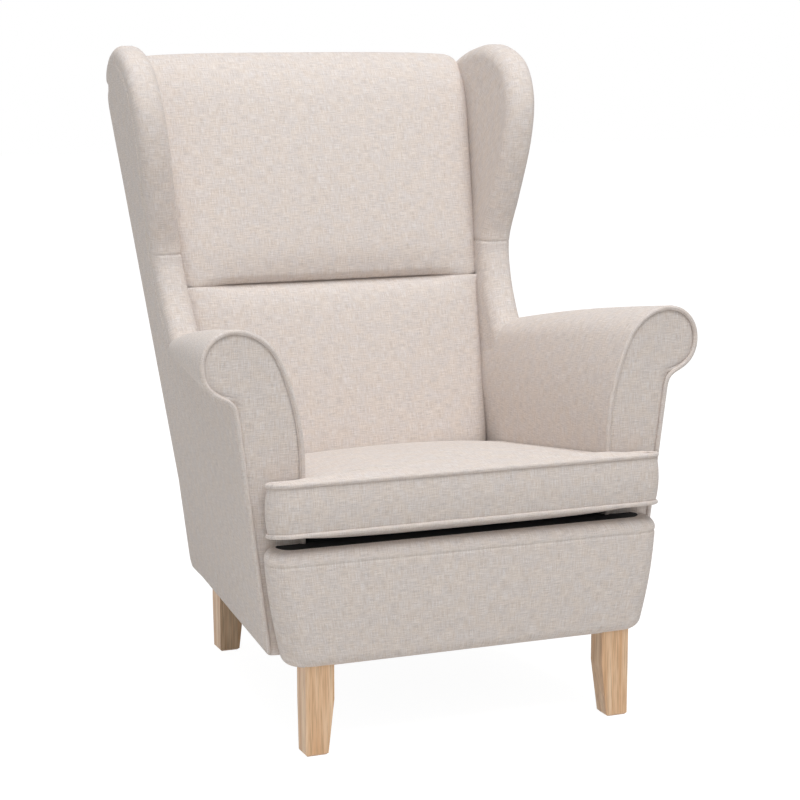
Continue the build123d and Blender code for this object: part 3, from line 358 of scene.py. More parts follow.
# Front border: a foam-padded panel round the front rail, wider at the top, with rounded ends and edges.
# Its cloth is sewn in two, with a seam a finger's width below the top edge, and tacked behind the rail.
# Half-widths at the bottom and at the top.
BORDER_HALF = (0.292, 0.321)
BORDER_FRONT = -0.398
BORDER_REAR = -0.3375
BORDER_REAR_GAP = 0.001
BORDER_END_R = 0.032
BORDER_END_R_LOSS = 0.4
BORDER_END_R_LEAST = 0.003
BORDER_END_FLAT = 0.0008
BORDER_END_TAPER = 0.010
BORDER_LOW_R = 0.017
BORDER_TOP_R = 0.018
BORDER_CROWN = 0.004
BORDER_RISE = 0.007
BORDER_SEAM = 0.021
BORDER_SHELF_ROWS = 8
BORDER_TURN_ROWS = 12
BORDER_FACE_ROWS = 138
BORDER_END_STEPS = 11
BORDER_CORNER_STEPS = 16
BORDER_RUN_STEPS = 180
# Rows and half-width of the painted shade, in black cloth, on the border's top face.
BORDER_PAINTED_SHADE_ROWS = 8
BORDER_PAINTED_SHADE_HALF = 0.285
SEAM_W = 0.0019
SEAM_DEPTH = 0.0013
border_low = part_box("front_border_cover")[0][2]
border_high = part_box("front_border_cover")[1][2] + BORDER_RISE


def groove(distance, depth=SEAM_DEPTH):
    """Depth of a sewn seam at a distance from its line: a narrow bell."""
    return depth * np.exp(-(distance / SEAM_W) ** 2)


def lengths(points):
    """Running length along a line of points: the summed distances between neighbours."""
    return np.concatenate([[0.0], np.cumsum(np.linalg.norm(np.diff(points, axis=0), axis=1))])


def border_profile():
    """Height and inset along the panel's section: in from below, up the front and back over the top."""
    turn = np.linspace(0, np.pi / 2, BORDER_TURN_ROWS)
    low_turn = np.stack([border_low + BORDER_LOW_R * (1 - np.cos(turn)),
                         BORDER_LOW_R * (1 - np.sin(turn))], axis=-1)
    top_turn = np.stack([border_high - BORDER_TOP_R * (1 - np.sin(turn)),
                         BORDER_TOP_R * (1 - np.cos(turn))], axis=-1)
    reach = -BORDER_FRONT + BORDER_REAR - BORDER_REAR_GAP
    below = np.stack([np.full(BORDER_SHELF_ROWS, border_low),
                      np.linspace(reach, BORDER_LOW_R, BORDER_SHELF_ROWS + 1)[:-1]], axis=-1)
    above = np.stack([np.full(BORDER_SHELF_ROWS, border_high),
                      np.linspace(BORDER_TOP_R, reach, BORDER_SHELF_ROWS + 1)[1:]], axis=-1)
    face_z = np.linspace(low_turn[-1, 0], top_turn[0, 0], BORDER_FACE_ROWS + 2)[1:-1]
    face = np.stack([face_z, np.zeros_like(face_z)], axis=-1)
    return np.concatenate([below, low_turn, face, top_turn, above])


def border_surface():
    """Plan outline at each level of the section: straight end, round corner, front, round corner, end."""
    profile = border_profile()
    z, inset = profile[:, :1], profile[:, 1:]
    height = (z - border_low) / (border_high - border_low)
    inset = inset + groove(z - (border_high - BORDER_SEAM)) - BORDER_CROWN * np.sin(np.pi * height)
    half = BORDER_HALF[0] + (BORDER_HALF[1] - BORDER_HALF[0]) * height - inset
    front = BORDER_FRONT + inset
    radius = np.clip(BORDER_END_R - BORDER_END_R_LOSS * inset, BORDER_END_R_LEAST,
                     -front + BORDER_REAR - BORDER_END_FLAT)
    end = np.linspace(0, 1, BORDER_END_STEPS + 1)[:-1]
    turn = np.linspace(0, np.pi / 2, BORDER_CORNER_STEPS)
    run = np.linspace(1, -1, BORDER_RUN_STEPS + 2)[1:-1]
    side_end = half - BORDER_END_TAPER * (1 - end) ** 2
    x = np.concatenate([side_end, half - radius * (1 - np.cos(turn))], axis=1)
    y = np.concatenate([BORDER_REAR + (front + radius - BORDER_REAR) * end,
                        front + radius * (1 - np.sin(turn))], axis=1)
    x = np.concatenate([x, (half - radius) * run, -x[:, ::-1]], axis=1)
    y = np.concatenate([y, np.tile(front, (1, BORDER_RUN_STEPS)), y[:, ::-1]], axis=1)
    grid = np.stack([x, y, np.broadcast_to(z, x.shape)], axis=-1)
    u = lengths(grid[len(grid) // 2])
    v = lengths(profile)[:, None]
    return grid, np.stack(np.broadcast_arrays(u, v), axis=-1)


grid, uv = border_surface()
border = surface("front_border", grid, uv, (0, BORDER_REAR, (border_low + border_high) / 2), "chair")
upholster(border, "front_border_cover", "front_border_foam", fill=0.9)
# Behind the rounded top edge, the border's top face is given the deck's black cloth as painted shade for the
# dark gap under the cushion.
border.data.materials.append(black_felt)
painted_shade_rows = np.arange(len(grid) - 1) >= len(grid) - BORDER_PAINTED_SHADE_ROWS
painted_shade_columns = np.abs(grid[-1, 1:, 0]) < BORDER_PAINTED_SHADE_HALF
painted_shade = painted_shade_rows[:, None] & painted_shade_columns
border.data.polygons.foreach_set("material_index", painted_shade.ravel().astype(np.int32))

# Arms: foam over a scrolled board, the cloth drawn over the roll and down the inner side to the deck. The
# roll is largest at the front and thins out towards the wing.
SIDE_HALF = 0.329
SIDE_REF_Z = 0.55
SIDE_TOE = np.tan(np.radians(5.1))
SIDE_FLARE = np.tan(np.radians(7.13))
SIDE_STRETCH = (1 + SIDE_TOE**2 + SIDE_FLARE**2) ** 0.5
ARM_FRONT = -0.340
ARM_REAR = 0.150
ARM_INNER = 0.250
# Heights at which the inner face ends, at the front and at the rear.
ARM_FOOT_Z = (0.295, 0.240)
ARM_HEART = np.array([0.32, -0.1, 0.45])
NECK_Z = 0.530
NECK_SUNK = 0.002
NECK_TUCK = (0.008, 0.006)
# The scroll's points are the spring of the inner face, the shoulder, the ridge and the outside of the roll.
SCROLL_FRONT = np.array([(0.250, 0.430), (0.285, 0.590), (0.350, 0.636), (0.405, 0.582)])
SCROLL_REAR = np.array([(0.250, 0.425), (0.262, 0.520), (0.293, 0.552), (0.3125, 0.541)])
ARM_SWELL = 0.006
SHOULDER_SWELL = 0.6
SHOULDER_SHRINK = np.array([0.9, -0.45])
ROLL_SWELL = 0.5
UNDER_DROP = 0.85
ARM_TURN_IN = 0.0065
ARM_SET_BACK = 0.003
ARM_AHEAD_MOST = 0.002
ARM_TURN_ROWS = 6
ARM_ROWS = 87
RISE_POINTS = 25
INNER_POINTS = 28
ROLL_POINTS = 18
UNDER_POINTS = 22
TUCK_POINTS = 3
MAP_ROW = 20
SIDES = (("right", 1), ("left", -1))


def side_x(y, z, depth=0.0):
    """Half-width of the chair at y and z: a flat outer side, toed in and flared, and moved in by depth."""
    return SIDE_HALF - SIDE_TOE * y + SIDE_FLARE * (z - SIDE_REF_Z) - depth * SIDE_STRETCH


def tangent_arc(start, heading, end, count):
    """Points of the arc that leaves start along heading and ends at end, and the heading there."""
    step = end - start
    normal = np.array([-heading[1], heading[0]])
    turn = 2 * np.arctan2(step @ normal, step @ heading)
    bend = 2 * (step @ normal) / (step @ step)
    angle = np.linspace(0, turn, count)[:, None]
    points = start + (np.sin(angle) * heading + (1 - np.cos(angle)) * normal) / bend
    return points, np.cos(turn) * heading + np.sin(turn) * normal


def scroll(y, shrink):
    """Section of the right arm at y: a straight inner face, three arcs over the shoulder, ridge and roll, and
    a parabola back under the roll to the neck. The points slide from the front set to the rear set."""
    share = (y - ARM_FRONT) / (ARM_REAR - ARM_FRONT)
    spring, shoulder, ridge, roll = SCROLL_FRONT + (SCROLL_REAR - SCROLL_FRONT) * share
    swell = ARM_SWELL * np.sin(np.pi * np.clip(share, 0, 1))
    spring = spring + (shrink, 0)
    shoulder = shoulder + SHOULDER_SHRINK * shrink + (0, SHOULDER_SWELL * swell)
    ridge = ridge + (0, swell - shrink)
    roll = roll - (shrink - ROLL_SWELL * swell, 0)
    neck = np.array([side_x(y, NECK_Z, NECK_SUNK + shrink), NECK_Z + shrink])
    foot = np.array([spring[0], ARM_FOOT_Z[0] + (ARM_FOOT_Z[1] - ARM_FOOT_Z[0]) * share])
    rise = np.linspace(foot, spring, RISE_POINTS + 1)[:-1]
    inner, heading = tangent_arc(spring, np.array([0.0, 1.0]), shoulder, INNER_POINTS)
    top, heading = tangent_arc(shoulder, heading, ridge, ROLL_POINTS)
    outer = tangent_arc(ridge, heading, roll, ROLL_POINTS)[0]
    bend = np.linspace(0, 1, UNDER_POINTS)[:, None]
    below = roll - (0, UNDER_DROP * (roll[1] - neck[1]))
    under = (1 - bend) ** 2 * roll + 2 * bend * (1 - bend) * below + bend**2 * neck
    tuck = np.linspace(neck, neck - NECK_TUCK, TUCK_POINTS + 1)[1:]
    return np.concatenate([rise, inner[:-1], top[:-1], outer[:-1], under, tuck])


def arm_surface():
    """The scroll carried from the front edge, where it turns in by a quarter round, to the wing."""
    turn = np.linspace(0, np.pi / 2, ARM_TURN_ROWS)
    places = np.concatenate([np.full(ARM_TURN_ROWS, ARM_FRONT),
                             np.linspace(ARM_FRONT, ARM_REAR, ARM_ROWS + 1)[1:]])
    shrinks = np.concatenate([ARM_TURN_IN * (1 - np.sin(turn)), np.zeros(ARM_ROWS)])
    ahead = np.concatenate([ARM_TURN_IN * np.cos(turn), np.zeros(ARM_ROWS)]) - ARM_SET_BACK
    sections = np.stack([scroll(y, shrink) for y, shrink in zip(places, shrinks)])
    y = np.broadcast_to((places - np.minimum(ahead, ARM_AHEAD_MOST))[:, None], sections.shape[:2])
    grid = np.stack([sections[..., 0], y, sections[..., 1]], axis=-1)
    v = np.broadcast_to(lengths(sections[MAP_ROW]), y.shape)
    return grid, np.stack([y, v], axis=-1)


def mirrored(points, side):
    """The points of the right-hand piece, or turned over for the left-hand one."""
    return points * (side, 1, 1)


grid, uv = arm_surface()
for name, side in SIDES:
    arm = surface(f"{name}_arm", mirrored(grid, side), uv, mirrored(ARM_HEART, side), "chair")
    upholster(arm, f"{name}_arm_cover", f"{name}_arm_foam", fill=0.9)

# Arm facings: a flat padded panel on the front of each arm, edged with piping of the same cloth. The
# piping follows the scroll and runs on down the outer front corner of the side.
WELT_R = 0.0035
WELT_IN = 0.0012
WELT_AHEAD = 0.0016
WELT_LOW = 0.150
WELT_INNER_LOW = 0.31
WELT_INNER_ZONE = 0.02
WELT_SIDES = 14
WELT_TIP = 0.0001
WELT_UPRIGHT = 0.9
FACING_LOW = 0.1465
FACING_UNDER = 0.0012
FACING_CROWN = 0.0042
FACING_ROUND = 0.020
FACING_SUNK = 0.0022
FACING_SMOOTH = 0.034
FACING_STEP = 0.0025
FACING_ROWS = 120
FACING_COLUMNS = 26
FACING_SIDE_POINTS = 59


def eased(count, start, end):
    """Values from start to end on half a cosine wave, so that they crowd towards both ends."""
    return start + (end - start) * (1 - np.cos(np.linspace(0, np.pi, count))) / 2


def resampled(line, count):
    """The same line with count points evenly along it."""
    along = lengths(line)
    even = np.linspace(0, along[-1], count)
    return np.stack([np.interp(even, along, column) for column in line.T], axis=-1)


def rounded(points, reach):
    """A line resampled evenly and smoothed by a raised-cosine bell of the given reach, with its ends kept."""
    line = resampled(points, int(lengths(points)[-1] / FACING_STEP))
    width = max(int(reach / FACING_STEP), 1)
    bell = np.hanning(2 * width + 3)[1:-1]
    padded = np.concatenate([2 * line[:1] - line[width:0:-1], line, 2 * line[-1:] - line[-2:-width - 2:-1]])
    return np.stack([np.convolve(column, bell / bell.sum(), mode="valid") for column in padded.T], axis=-1)


def tube(name, path, radius, inside, body, closed=False):
    """A round profile carried along a path, with its ends drawn to a point unless the path is closed."""
    ahead = np.roll(path, -1, axis=0) - np.roll(path, 1, axis=0)
    size = np.full(len(path), radius)
    if not closed:
        ahead[0] = path[1] - path[0]
        ahead[-1] = path[-1] - path[-2]
        size[[0, -1]] = WELT_TIP
    ahead = ahead / np.linalg.norm(ahead, axis=1, keepdims=True)
    spare = np.where(np.abs(ahead[:, 1:2]) > WELT_UPRIGHT, (0.0, 0.0, 1.0), (0.0, 1.0, 0.0))
    across = np.cross(ahead, spare)
    across = across / np.linalg.norm(across, axis=1, keepdims=True)
    above = np.cross(across, ahead)
    angle = np.linspace(0, 2 * np.pi, WELT_SIDES + 1)[:-1]
    ring = np.cos(angle)[None, :, None] * across[:, None] + np.sin(angle)[None, :, None] * above[:, None]
    grid = path[:, None] + size[:, None, None] * ring
    if closed:
        grid = np.concatenate([grid, grid[:1]])
    u = lengths(grid[:, 0])[:, None]
    v = np.arange(WELT_SIDES + 1)[None] * (2 * np.pi * radius / WELT_SIDES)
    uv = np.stack(np.broadcast_arrays(u, v), axis=-1)
    return surface(name, grid, uv, inside, body, wrap=True, weld=True)


def facing_line(shrink, low):
    """Outline of the facing: from the inner foot round the scroll and down the side to the outer foot."""
    line = scroll(ARM_FRONT, shrink)[:-TUCK_POINTS]
    line = np.concatenate([[(line[0, 0], low)], line])
    down = np.linspace(line[-1, 1], low, FACING_SIDE_POINTS + 1)[1:]
    outer = np.stack([side_x(ARM_FRONT, down, NECK_SUNK + shrink), down], axis=-1)
    return np.concatenate([line, outer])


def facing_surface():
    """Panel spanned between the inner and the outer half of its outline. It stands forward by a quarter round
    of the distance to the outline."""
    outline = rounded(facing_line(WELT_IN + FACING_UNDER, FACING_LOW), FACING_SMOOTH)
    ridge = int(np.argmax(outline[:, 1]))
    inner = resampled(outline[:ridge + 1], FACING_ROWS)
    outer = resampled(outline[ridge:][::-1], FACING_ROWS)
    w = eased(FACING_COLUMNS, 0.0, 1.0)
    flat = inner[:, None] + (outer - inner)[:, None] * w[None, :, None]
    to_edge = np.linalg.norm(flat[:, :, None] - outline[None, None, ::2], axis=-1).min(axis=-1)
    level = np.clip(to_edge / FACING_ROUND, 0, 1)
    y = ARM_FRONT + FACING_SUNK - FACING_CROWN * np.sqrt(1 - (1 - level) ** 2)
    return np.stack([flat[..., 0], y, flat[..., 1]], axis=-1), flat


grid, uv = facing_surface()
line = rounded(facing_line(WELT_IN, WELT_LOW), FACING_SMOOTH)
welt_path = np.stack([line[:, 0], np.full(len(line), ARM_FRONT - WELT_AHEAD), line[:, 1]], axis=-1)
welt_path = welt_path[(line[:, 0] > ARM_INNER + WELT_INNER_ZONE) | (line[:, 1] > WELT_INNER_LOW)]
for name, side in SIDES:
    heart = mirrored(ARM_HEART, side)
    facing = surface(f"{name}_arm_facing_panel", mirrored(grid, side), uv, heart, "chair")
    upholster(facing, f"{name}_arm_facing", fill=0.9)
    welt = tube(f"{name}_arm_piping", mirrored(welt_path, side), WELT_R, heart, "chair")
    upholster(welt, f"{name}_arm_welt")

# Wings: foam round a shaped board, with soft thick edges. A band of cloth wraps the front edge and the
# top from the outer seam to the inner face, a level seam crosses it at the waist, and it ends in two pleats.
REAR_Y = 0.223
KNEE_Z = 0.300
REAR_LEAN = np.tan(np.radians(15.1))
REAR_TOP_Z = 0.980
# Edge of the wing in side view, from behind the arm up the front and over the top to the rear.
WING_FRONT = np.array([(0.040, 0.445), (0.062, 0.500), (0.095, 0.545), (0.128, 0.588), (0.158, 0.638),
                       (0.176, 0.695), (0.160, 0.768), (0.143, 0.862), (0.150, 0.942), (0.192, 1.004),
                       (0.264, 1.031), (0.332, 1.023), (0.380, 1.003), (0.4025, 0.979), (0.401, 0.950)])
WING_HEART = np.array([0.325, 0.26, 0.80])
WING_T = 0.054
WING_THIN = 0.041
WING_THIN_POWER = 1.5
WING_OUTER_R = 0.021
WING_INNER_R = 0.022
WING_LAP = 0.034
BAND_SUNK = 0.0012
BAND_DIVE = 0.007
BAND_DIVE_REACH = 0.010
SPINE_LOW = 0.44
SPINE_RISE = 0.51
SPINE_IN = 0.02
WAIST_SEAM_Z = 0.690
WAIST_DEPTH = 0.0015
PLEAT = 0.0035
PLEAT_W = 0.0016
PLEAT_INSETS = (0.006, 0.0125)
PLEAT_MIDDLE = 0.062
PLEAT_REACH = 0.036
WING_ROWS = 600
LAP_STEPS = 4
OUTER_TURN_STEPS = 26
EDGE_STEPS = 5
INNER_TURN_STEPS = 12
INNER_FACE_STEPS = 39
SPAN_POINTS = 59


def rear_y(z):
    """Rear face of the chair at height z: upright below the seat, leaning above it."""
    return REAR_Y + REAR_LEAN * np.maximum(z - KNEE_Z, 0.0)


def smooth_line(points, count):
    """Even points along a smooth curve through the given ones: each span is a cubic whose tangents are half
    the step between its neighbours."""
    before = np.concatenate([2 * points[:1] - points[1:2], points[:-1]])
    after = np.concatenate([points[1:], 2 * points[-1:] - points[-2:-1]])
    tangent = (after - before) / 2
    t = np.linspace(0, 1, SPAN_POINTS + 1)[:-1, None, None]
    start, end, leave, arrive = points[:-1], points[1:], tangent[:-1], tangent[1:]
    spans = ((2 * t**3 - 3 * t**2 + 1) * start + (t**3 - 2 * t**2 + t) * leave
             + (3 * t**2 - 2 * t**3) * end + (t**3 - t**2) * arrive)
    line = np.concatenate([spans.transpose(1, 0, 2).reshape(-1, points.shape[1]), points[-1:]])
    return resampled(line, count)


def quarter_turned(line):
    """Unit normals of a line: its tangents turned to the right by a quarter."""
    along = np.gradient(line, axis=0)
    normal = np.stack([along[:, 1], -along[:, 0]], axis=-1)
    return normal / np.linalg.norm(normal, axis=1, keepdims=True)


def wing_surface():
    """Band and inner face: each row starts at the outer seam, turns round the edge in two quarter rounds and
    runs in to the rear. Inset is the distance in from the edge, and depth that in from the flat side."""
    edge = smooth_line(WING_FRONT, WING_ROWS)
    normal = quarter_turned(edge)
    spine_z = SPINE_LOW + SPINE_RISE * np.linspace(0, 1, WING_ROWS)
    spine = np.stack([rear_y(spine_z) - SPINE_IN, spine_z], axis=-1)
    outer_turn = np.linspace(0, np.pi / 2, OUTER_TURN_STEPS)
    turn = np.linspace(0, np.pi / 2, INNER_TURN_STEPS)
    lap = np.linspace(WING_LAP, WING_OUTER_R, LAP_STEPS + 1)[:-1]
    flat = np.linspace(WING_OUTER_R, WING_T - WING_INNER_R, EDGE_STEPS + 2)[1:-1]
    depth = np.concatenate([np.full(LAP_STEPS, BAND_SUNK),
                            BAND_SUNK + (WING_OUTER_R - BAND_SUNK) * (1 - np.cos(outer_turn)), flat,
                            WING_T - WING_INNER_R * (1 - np.sin(turn))])
    inset = np.concatenate([lap, WING_OUTER_R * (1 - np.sin(outer_turn)), np.zeros(EDGE_STEPS),
                            WING_INNER_R * (1 - np.cos(turn))])
    y = edge[:, :1] + normal[:, :1] * inset
    z = edge[:, 1:] + normal[:, 1:] * inset
    to_end = (lengths(edge)[-1] - lengths(edge))[:, None]
    outer = np.arange(len(inset)) < LAP_STEPS + OUTER_TURN_STEPS
    folds = sum(np.exp(-((inset - place) / PLEAT_W) ** 2) for place in PLEAT_INSETS) * outer
    depth = depth + PLEAT * folds * np.exp(-((to_end - PLEAT_MIDDLE) / PLEAT_REACH) ** 4)
    depth = depth + BAND_DIVE * outer * np.exp(-((to_end / BAND_DIVE_REACH) ** 2))
    t = np.linspace(0, 1, INNER_FACE_STEPS + 1)[1:]
    y = np.concatenate([y, y[:, -1:] + (spine[:, :1] - y[:, -1:]) * t], axis=1)
    z = np.concatenate([z, z[:, -1:] + (spine[:, 1:] - z[:, -1:]) * t], axis=1)
    pad = WING_T + (WING_THIN - WING_T) * t**WING_THIN_POWER
    depth = np.concatenate([depth, np.broadcast_to(pad, (WING_ROWS, INNER_FACE_STEPS))], axis=1)
    columns = np.arange(depth.shape[1])
    sewn = groove(z - WAIST_SEAM_Z, WAIST_DEPTH)
    on_edge = (columns >= LAP_STEPS) & (columns < len(inset))
    depth = depth - sewn * (columns >= len(inset) - INNER_TURN_STEPS)
    y = y + sewn * on_edge
    grid = np.stack([side_x(y, z, depth), y, z], axis=-1)
    u = lengths(grid[WING_ROWS // 2])
    v = lengths(edge)[:, None]
    return grid, np.stack(np.broadcast_arrays(u, v), axis=-1)


grid, uv = wing_surface()
for name, side in SIDES:
    wing = surface(f"{name}_wing", mirrored(grid, side), uv, mirrored(WING_HEART, side), "chair")
    upholster(wing, f"{name}_wing_cover", f"{name}_wing_foam", fill=0.9)

# Outside panels: one piece of cloth over a thin board on each side, from the wing down to the bottom
# edge, tacked under the arm roll and turned in along the rear corner and the bottom.
PANEL_FRONT = -0.3395
PANEL_PROUD = 0.0008
PANEL_EDGE = 0.006
PANEL_TUCK = 0.0045
PANEL_TOP_DROP = 0.003
PANEL_OVERLAP = 0.004
PANEL_HEART = (0, 0.0, 0.5)
PANEL_WELD = 0.0002
FLANGE = 0.012
FLANGE_FORWARD = 0.001
CORNER_EASE = 0.013
CORNER_REACH = 0.027
BASE_Z = 0.147
BASE_R = 0.020
BASE_ZONE = 0.03
WING_SEAM = 0.027
WING_SEAM_POINTS = 300
PANEL_WING_ROWS = 150
PANEL_BASE_ROWS = 12
PANEL_SIDE_ROWS = 69
PANEL_FRONT_COLUMNS = 69
PANEL_REAR_COLUMNS = 60


def pillow(distance):
    """Share of the full height at a distance from a panel's edge: a quarter round that then stays level."""
    t = np.clip(distance / PANEL_EDGE, 0, 1)
    return np.sqrt(1 - (1 - t) ** 2)


def eased_corner(y, z):
    """Depth by which a rear top corner is drawn in: a bell round the point where side, rear and top meet."""
    away = (y - rear_y(REAR_TOP_Z)) ** 2 + (z - REAR_TOP_Z) ** 2
    return CORNER_EASE * np.exp(-away / CORNER_REACH**2)


def base_rear(z):
    """Rear edge of the side in side view, with a quarter round at the bottom corner."""
    drop = np.clip(BASE_Z + BASE_R - z, 0, BASE_R)
    return rear_y(z) - BASE_R + np.sqrt(BASE_R**2 - drop**2)


def panel_surface():
    """Two side-view grids: the wing's part, spanned from the wing seam to the rear edge, and the part below
    it, spanned from the front edge to the rear edge, down to the base."""
    edge = smooth_line(WING_FRONT, WING_SEAM_POINTS)
    line = edge + quarter_turned(edge) * WING_SEAM
    line = line[:np.argmax(line[:, 0]) + 1]
    line = line[line[:, 1] > NECK_Z + PANEL_OVERLAP]
    line = resampled(line, PANEL_WING_ROWS)
    start, top = line[0]
    rear_z = np.linspace(top, REAR_TOP_Z - PANEL_TOP_DROP, PANEL_WING_ROWS)
    rear = np.stack([rear_y(rear_z), rear_z], axis=-1)
    w = eased(PANEL_REAR_COLUMNS, 0, 1)
    upper = line[:, None] + (rear - line)[:, None] * w[None, :, None]
    low_z = np.concatenate([BASE_Z + eased(PANEL_BASE_ROWS, 0, BASE_ZONE),
                            np.linspace(BASE_Z + BASE_ZONE, top, PANEL_SIDE_ROWS + 1)[1:]])
    front = PANEL_FRONT + (start - PANEL_FRONT) * eased(PANEL_FRONT_COLUMNS + 1, 0, 1)[:-1]
    behind = start + (base_rear(low_z)[:, None] - start) * w
    low_y = np.concatenate([np.broadcast_to(front, (len(low_z), PANEL_FRONT_COLUMNS)), behind], axis=1)
    lower = np.stack([low_y, np.broadcast_to(low_z[:, None], low_y.shape)], axis=-1)
    return upper, lower


def panel_grid(flat, sides):
    """Lays a side-view grid on the outer side, proud of it by a pillow that falls off at the named edges, and
    turns its rear edge in."""
    y, z = flat[..., 0], flat[..., 1]
    edges = {"front": flat[:, :1], "rear": flat[:, -1:], "low": flat[:1]}
    rise = np.ones(y.shape)
    for edge in sides:
        rise = np.minimum(rise, pillow(np.linalg.norm(flat - edges[edge], axis=-1)))
    depth = PANEL_TUCK - (PANEL_TUCK + PANEL_PROUD) * rise + eased_corner(y, z)
    grid = np.stack([side_x(y, z, depth), y, z], axis=-1)
    turned = grid[:, -1:] - (FLANGE, FLANGE_FORWARD, 0.0)
    return np.concatenate([grid, turned], axis=1)


upper, lower = panel_surface()
for name, side in SIDES:
    parts = []
    for part, flat, sides in (("wing", upper, ("front", "rear")), ("side", lower, ("front", "rear", "low"))):
        grid = mirrored(panel_grid(flat, sides), side)
        uv = np.concatenate([flat, flat[:, -1:] + (FLANGE, 0.0)], axis=1)
        parts.append(surface(f"{name}_outside_{part}", grid, uv, PANEL_HEART, "chair"))
    panel = parts[1]
    with bpy.context.temp_override(active_object=panel, selected_editable_objects=parts):
        bpy.ops.object.join()
    shell = bmesh.new()
    shell.from_mesh(panel.data)
    bmesh.ops.remove_doubles(shell, verts=shell.verts, dist=PANEL_WELD)
    shell.to_mesh(panel.data)
    shell.free()
    upholster(panel, f"{name}_outside_panel")

# Outside back: cloth over the rear of the frame, upright below the seat and leaning above it, tacked at
# both sides and at the top, and turned under the rear rail.
BACK_PROUD = 0.003
BACK_SUNK = 0.003
BACK_UNDER = 0.02
BACK_TOP_LAP = 0.002
BACK_TURN_ROWS = 10
BACK_ROWS = 109
BACK_COLUMNS = 120
BACK_SMOOTH = 5
BACK_HEART = (0, 0, 0.55)


def outside_back():
    """Rows climb the rear face from under the rail to the top edge, and columns run from side to side. The
    face is a pillow between the edges, and its knee is a running mean of five rows."""
    turn = np.linspace(0, np.pi / 2, BACK_TURN_ROWS)
    under_y = np.concatenate([[REAR_Y - BASE_R - BACK_UNDER], REAR_Y - BASE_R + BASE_R * np.sin(turn)])
    under_z = np.concatenate([[BASE_Z], BASE_Z + BASE_R * (1 - np.cos(turn))])
    climb = np.linspace(BASE_Z + BASE_R, REAR_TOP_Z, BACK_ROWS + 1)[1:]
    z = np.concatenate([under_z, climb])
    y = np.pad(np.concatenate([under_y, rear_y(climb)]), BACK_SMOOTH // 2, mode="edge")
    y = np.convolve(y, np.ones(BACK_SMOOTH) / BACK_SMOOTH, mode="valid")
    w = np.concatenate([[-1], eased(BACK_COLUMNS, -1, 1), [1]])
    flange = np.concatenate([[FLANGE], np.zeros(BACK_COLUMNS), [FLANGE]])
    half = (side_x(y, z, BACK_SUNK) - eased_corner(y, z))[:, None]
    x = half * w
    rise = pillow(half * (1 - np.abs(w))) * pillow(REAR_TOP_Z + BACK_TOP_LAP - z)[:, None]
    y_out = y[:, None] - BACK_SUNK + (BACK_PROUD + BACK_SUNK) * rise - flange
    grid = np.stack([x, y_out, np.broadcast_to(z[:, None], x.shape)], axis=-1)
    v = lengths(np.stack([y, z], axis=-1))[:, None]
    return grid, np.stack(np.broadcast_arrays(x, v), axis=-1)


grid, uv = outside_back()
back = surface("outside_back", grid, uv, BACK_HEART, "chair")
upholster(back, "outside_back_panel")

# Back pads: one foam back drawn in along a level seam, so that it reads as an upper and a lower pad.
# The cloth is pulled deep at the middle of the seam and lies flatter near the wings.
BACK_Y = 0.084
BACK_Z = 0.344
BACK_LEAN = np.tan(np.radians(20.4))
# Each face point is its height, how far it lies back from the plane of the back, and its crown.
UPPER_FACE = np.array([(0.632, 0.022, 0.006), (0.635, 0.014, 0.007), (0.641, 0.0075, 0.009),
                       (0.652, 0.003, 0.012), (0.690, 0.0, 0.019), (0.760, 0.0, 0.022), (0.840, 0.0, 0.022),
                       (0.920, 0.0, 0.018), (0.960, 0.002, 0.014), (0.988, 0.009, 0.010),
                       (1.007, 0.021, 0.007), (1.017, 0.035, 0.004)])
LOWER_FACE = np.array([(0.290, 0.022, 0.008), (0.355, 0.002, 0.014), (0.450, 0.0, 0.020), (0.540, 0.0, 0.019),
                       (0.590, 0.0, 0.015), (0.612, 0.003, 0.012), (0.623, 0.0075, 0.009),
                       (0.629, 0.014, 0.007), (0.632, 0.022, 0.006)])
# Over the top the upper pad runs on through these points of its side view and down behind the frame.
UPPER_REAR = np.array([(0.3835, 1.0165), (0.3960, 1.004), (0.4035, 0.986), (0.4010, 0.960)])
PAD_HEART = (0, 0.45, 0.55)
PAD_SIDE = 0.046
PAD_EDGE_R = 0.030
PAD_WALL = 0.030
PAD_CORNER_R = 0.034
PAD_TOP_FALL = 0.007
PAD_TOP_Z = 1.019
PAD_TOP_FROM = 0.90
PAD_TOP_POWER = 1.5
PAD_CROWN_POWER = 2.4
PAD_ROWS = 170
PAD_COLUMNS = 168
PAD_FRONT_FADE = 20
CORNER_LIMIT = 0.99
EDGE_LIMIT = 0.995
CREASE_Z = 0.632
CREASE_REACH = 0.03
CREASE_END = 0.80
# Shares of the half-width at which the crease starts to fade, and over which it does so.
CREASE_FADE = (0.62, 0.30)
PUCKER = 0.0010
PUCKER_STEP = 0.036
PUCKER_DRIFT = (2.0, 9.0)


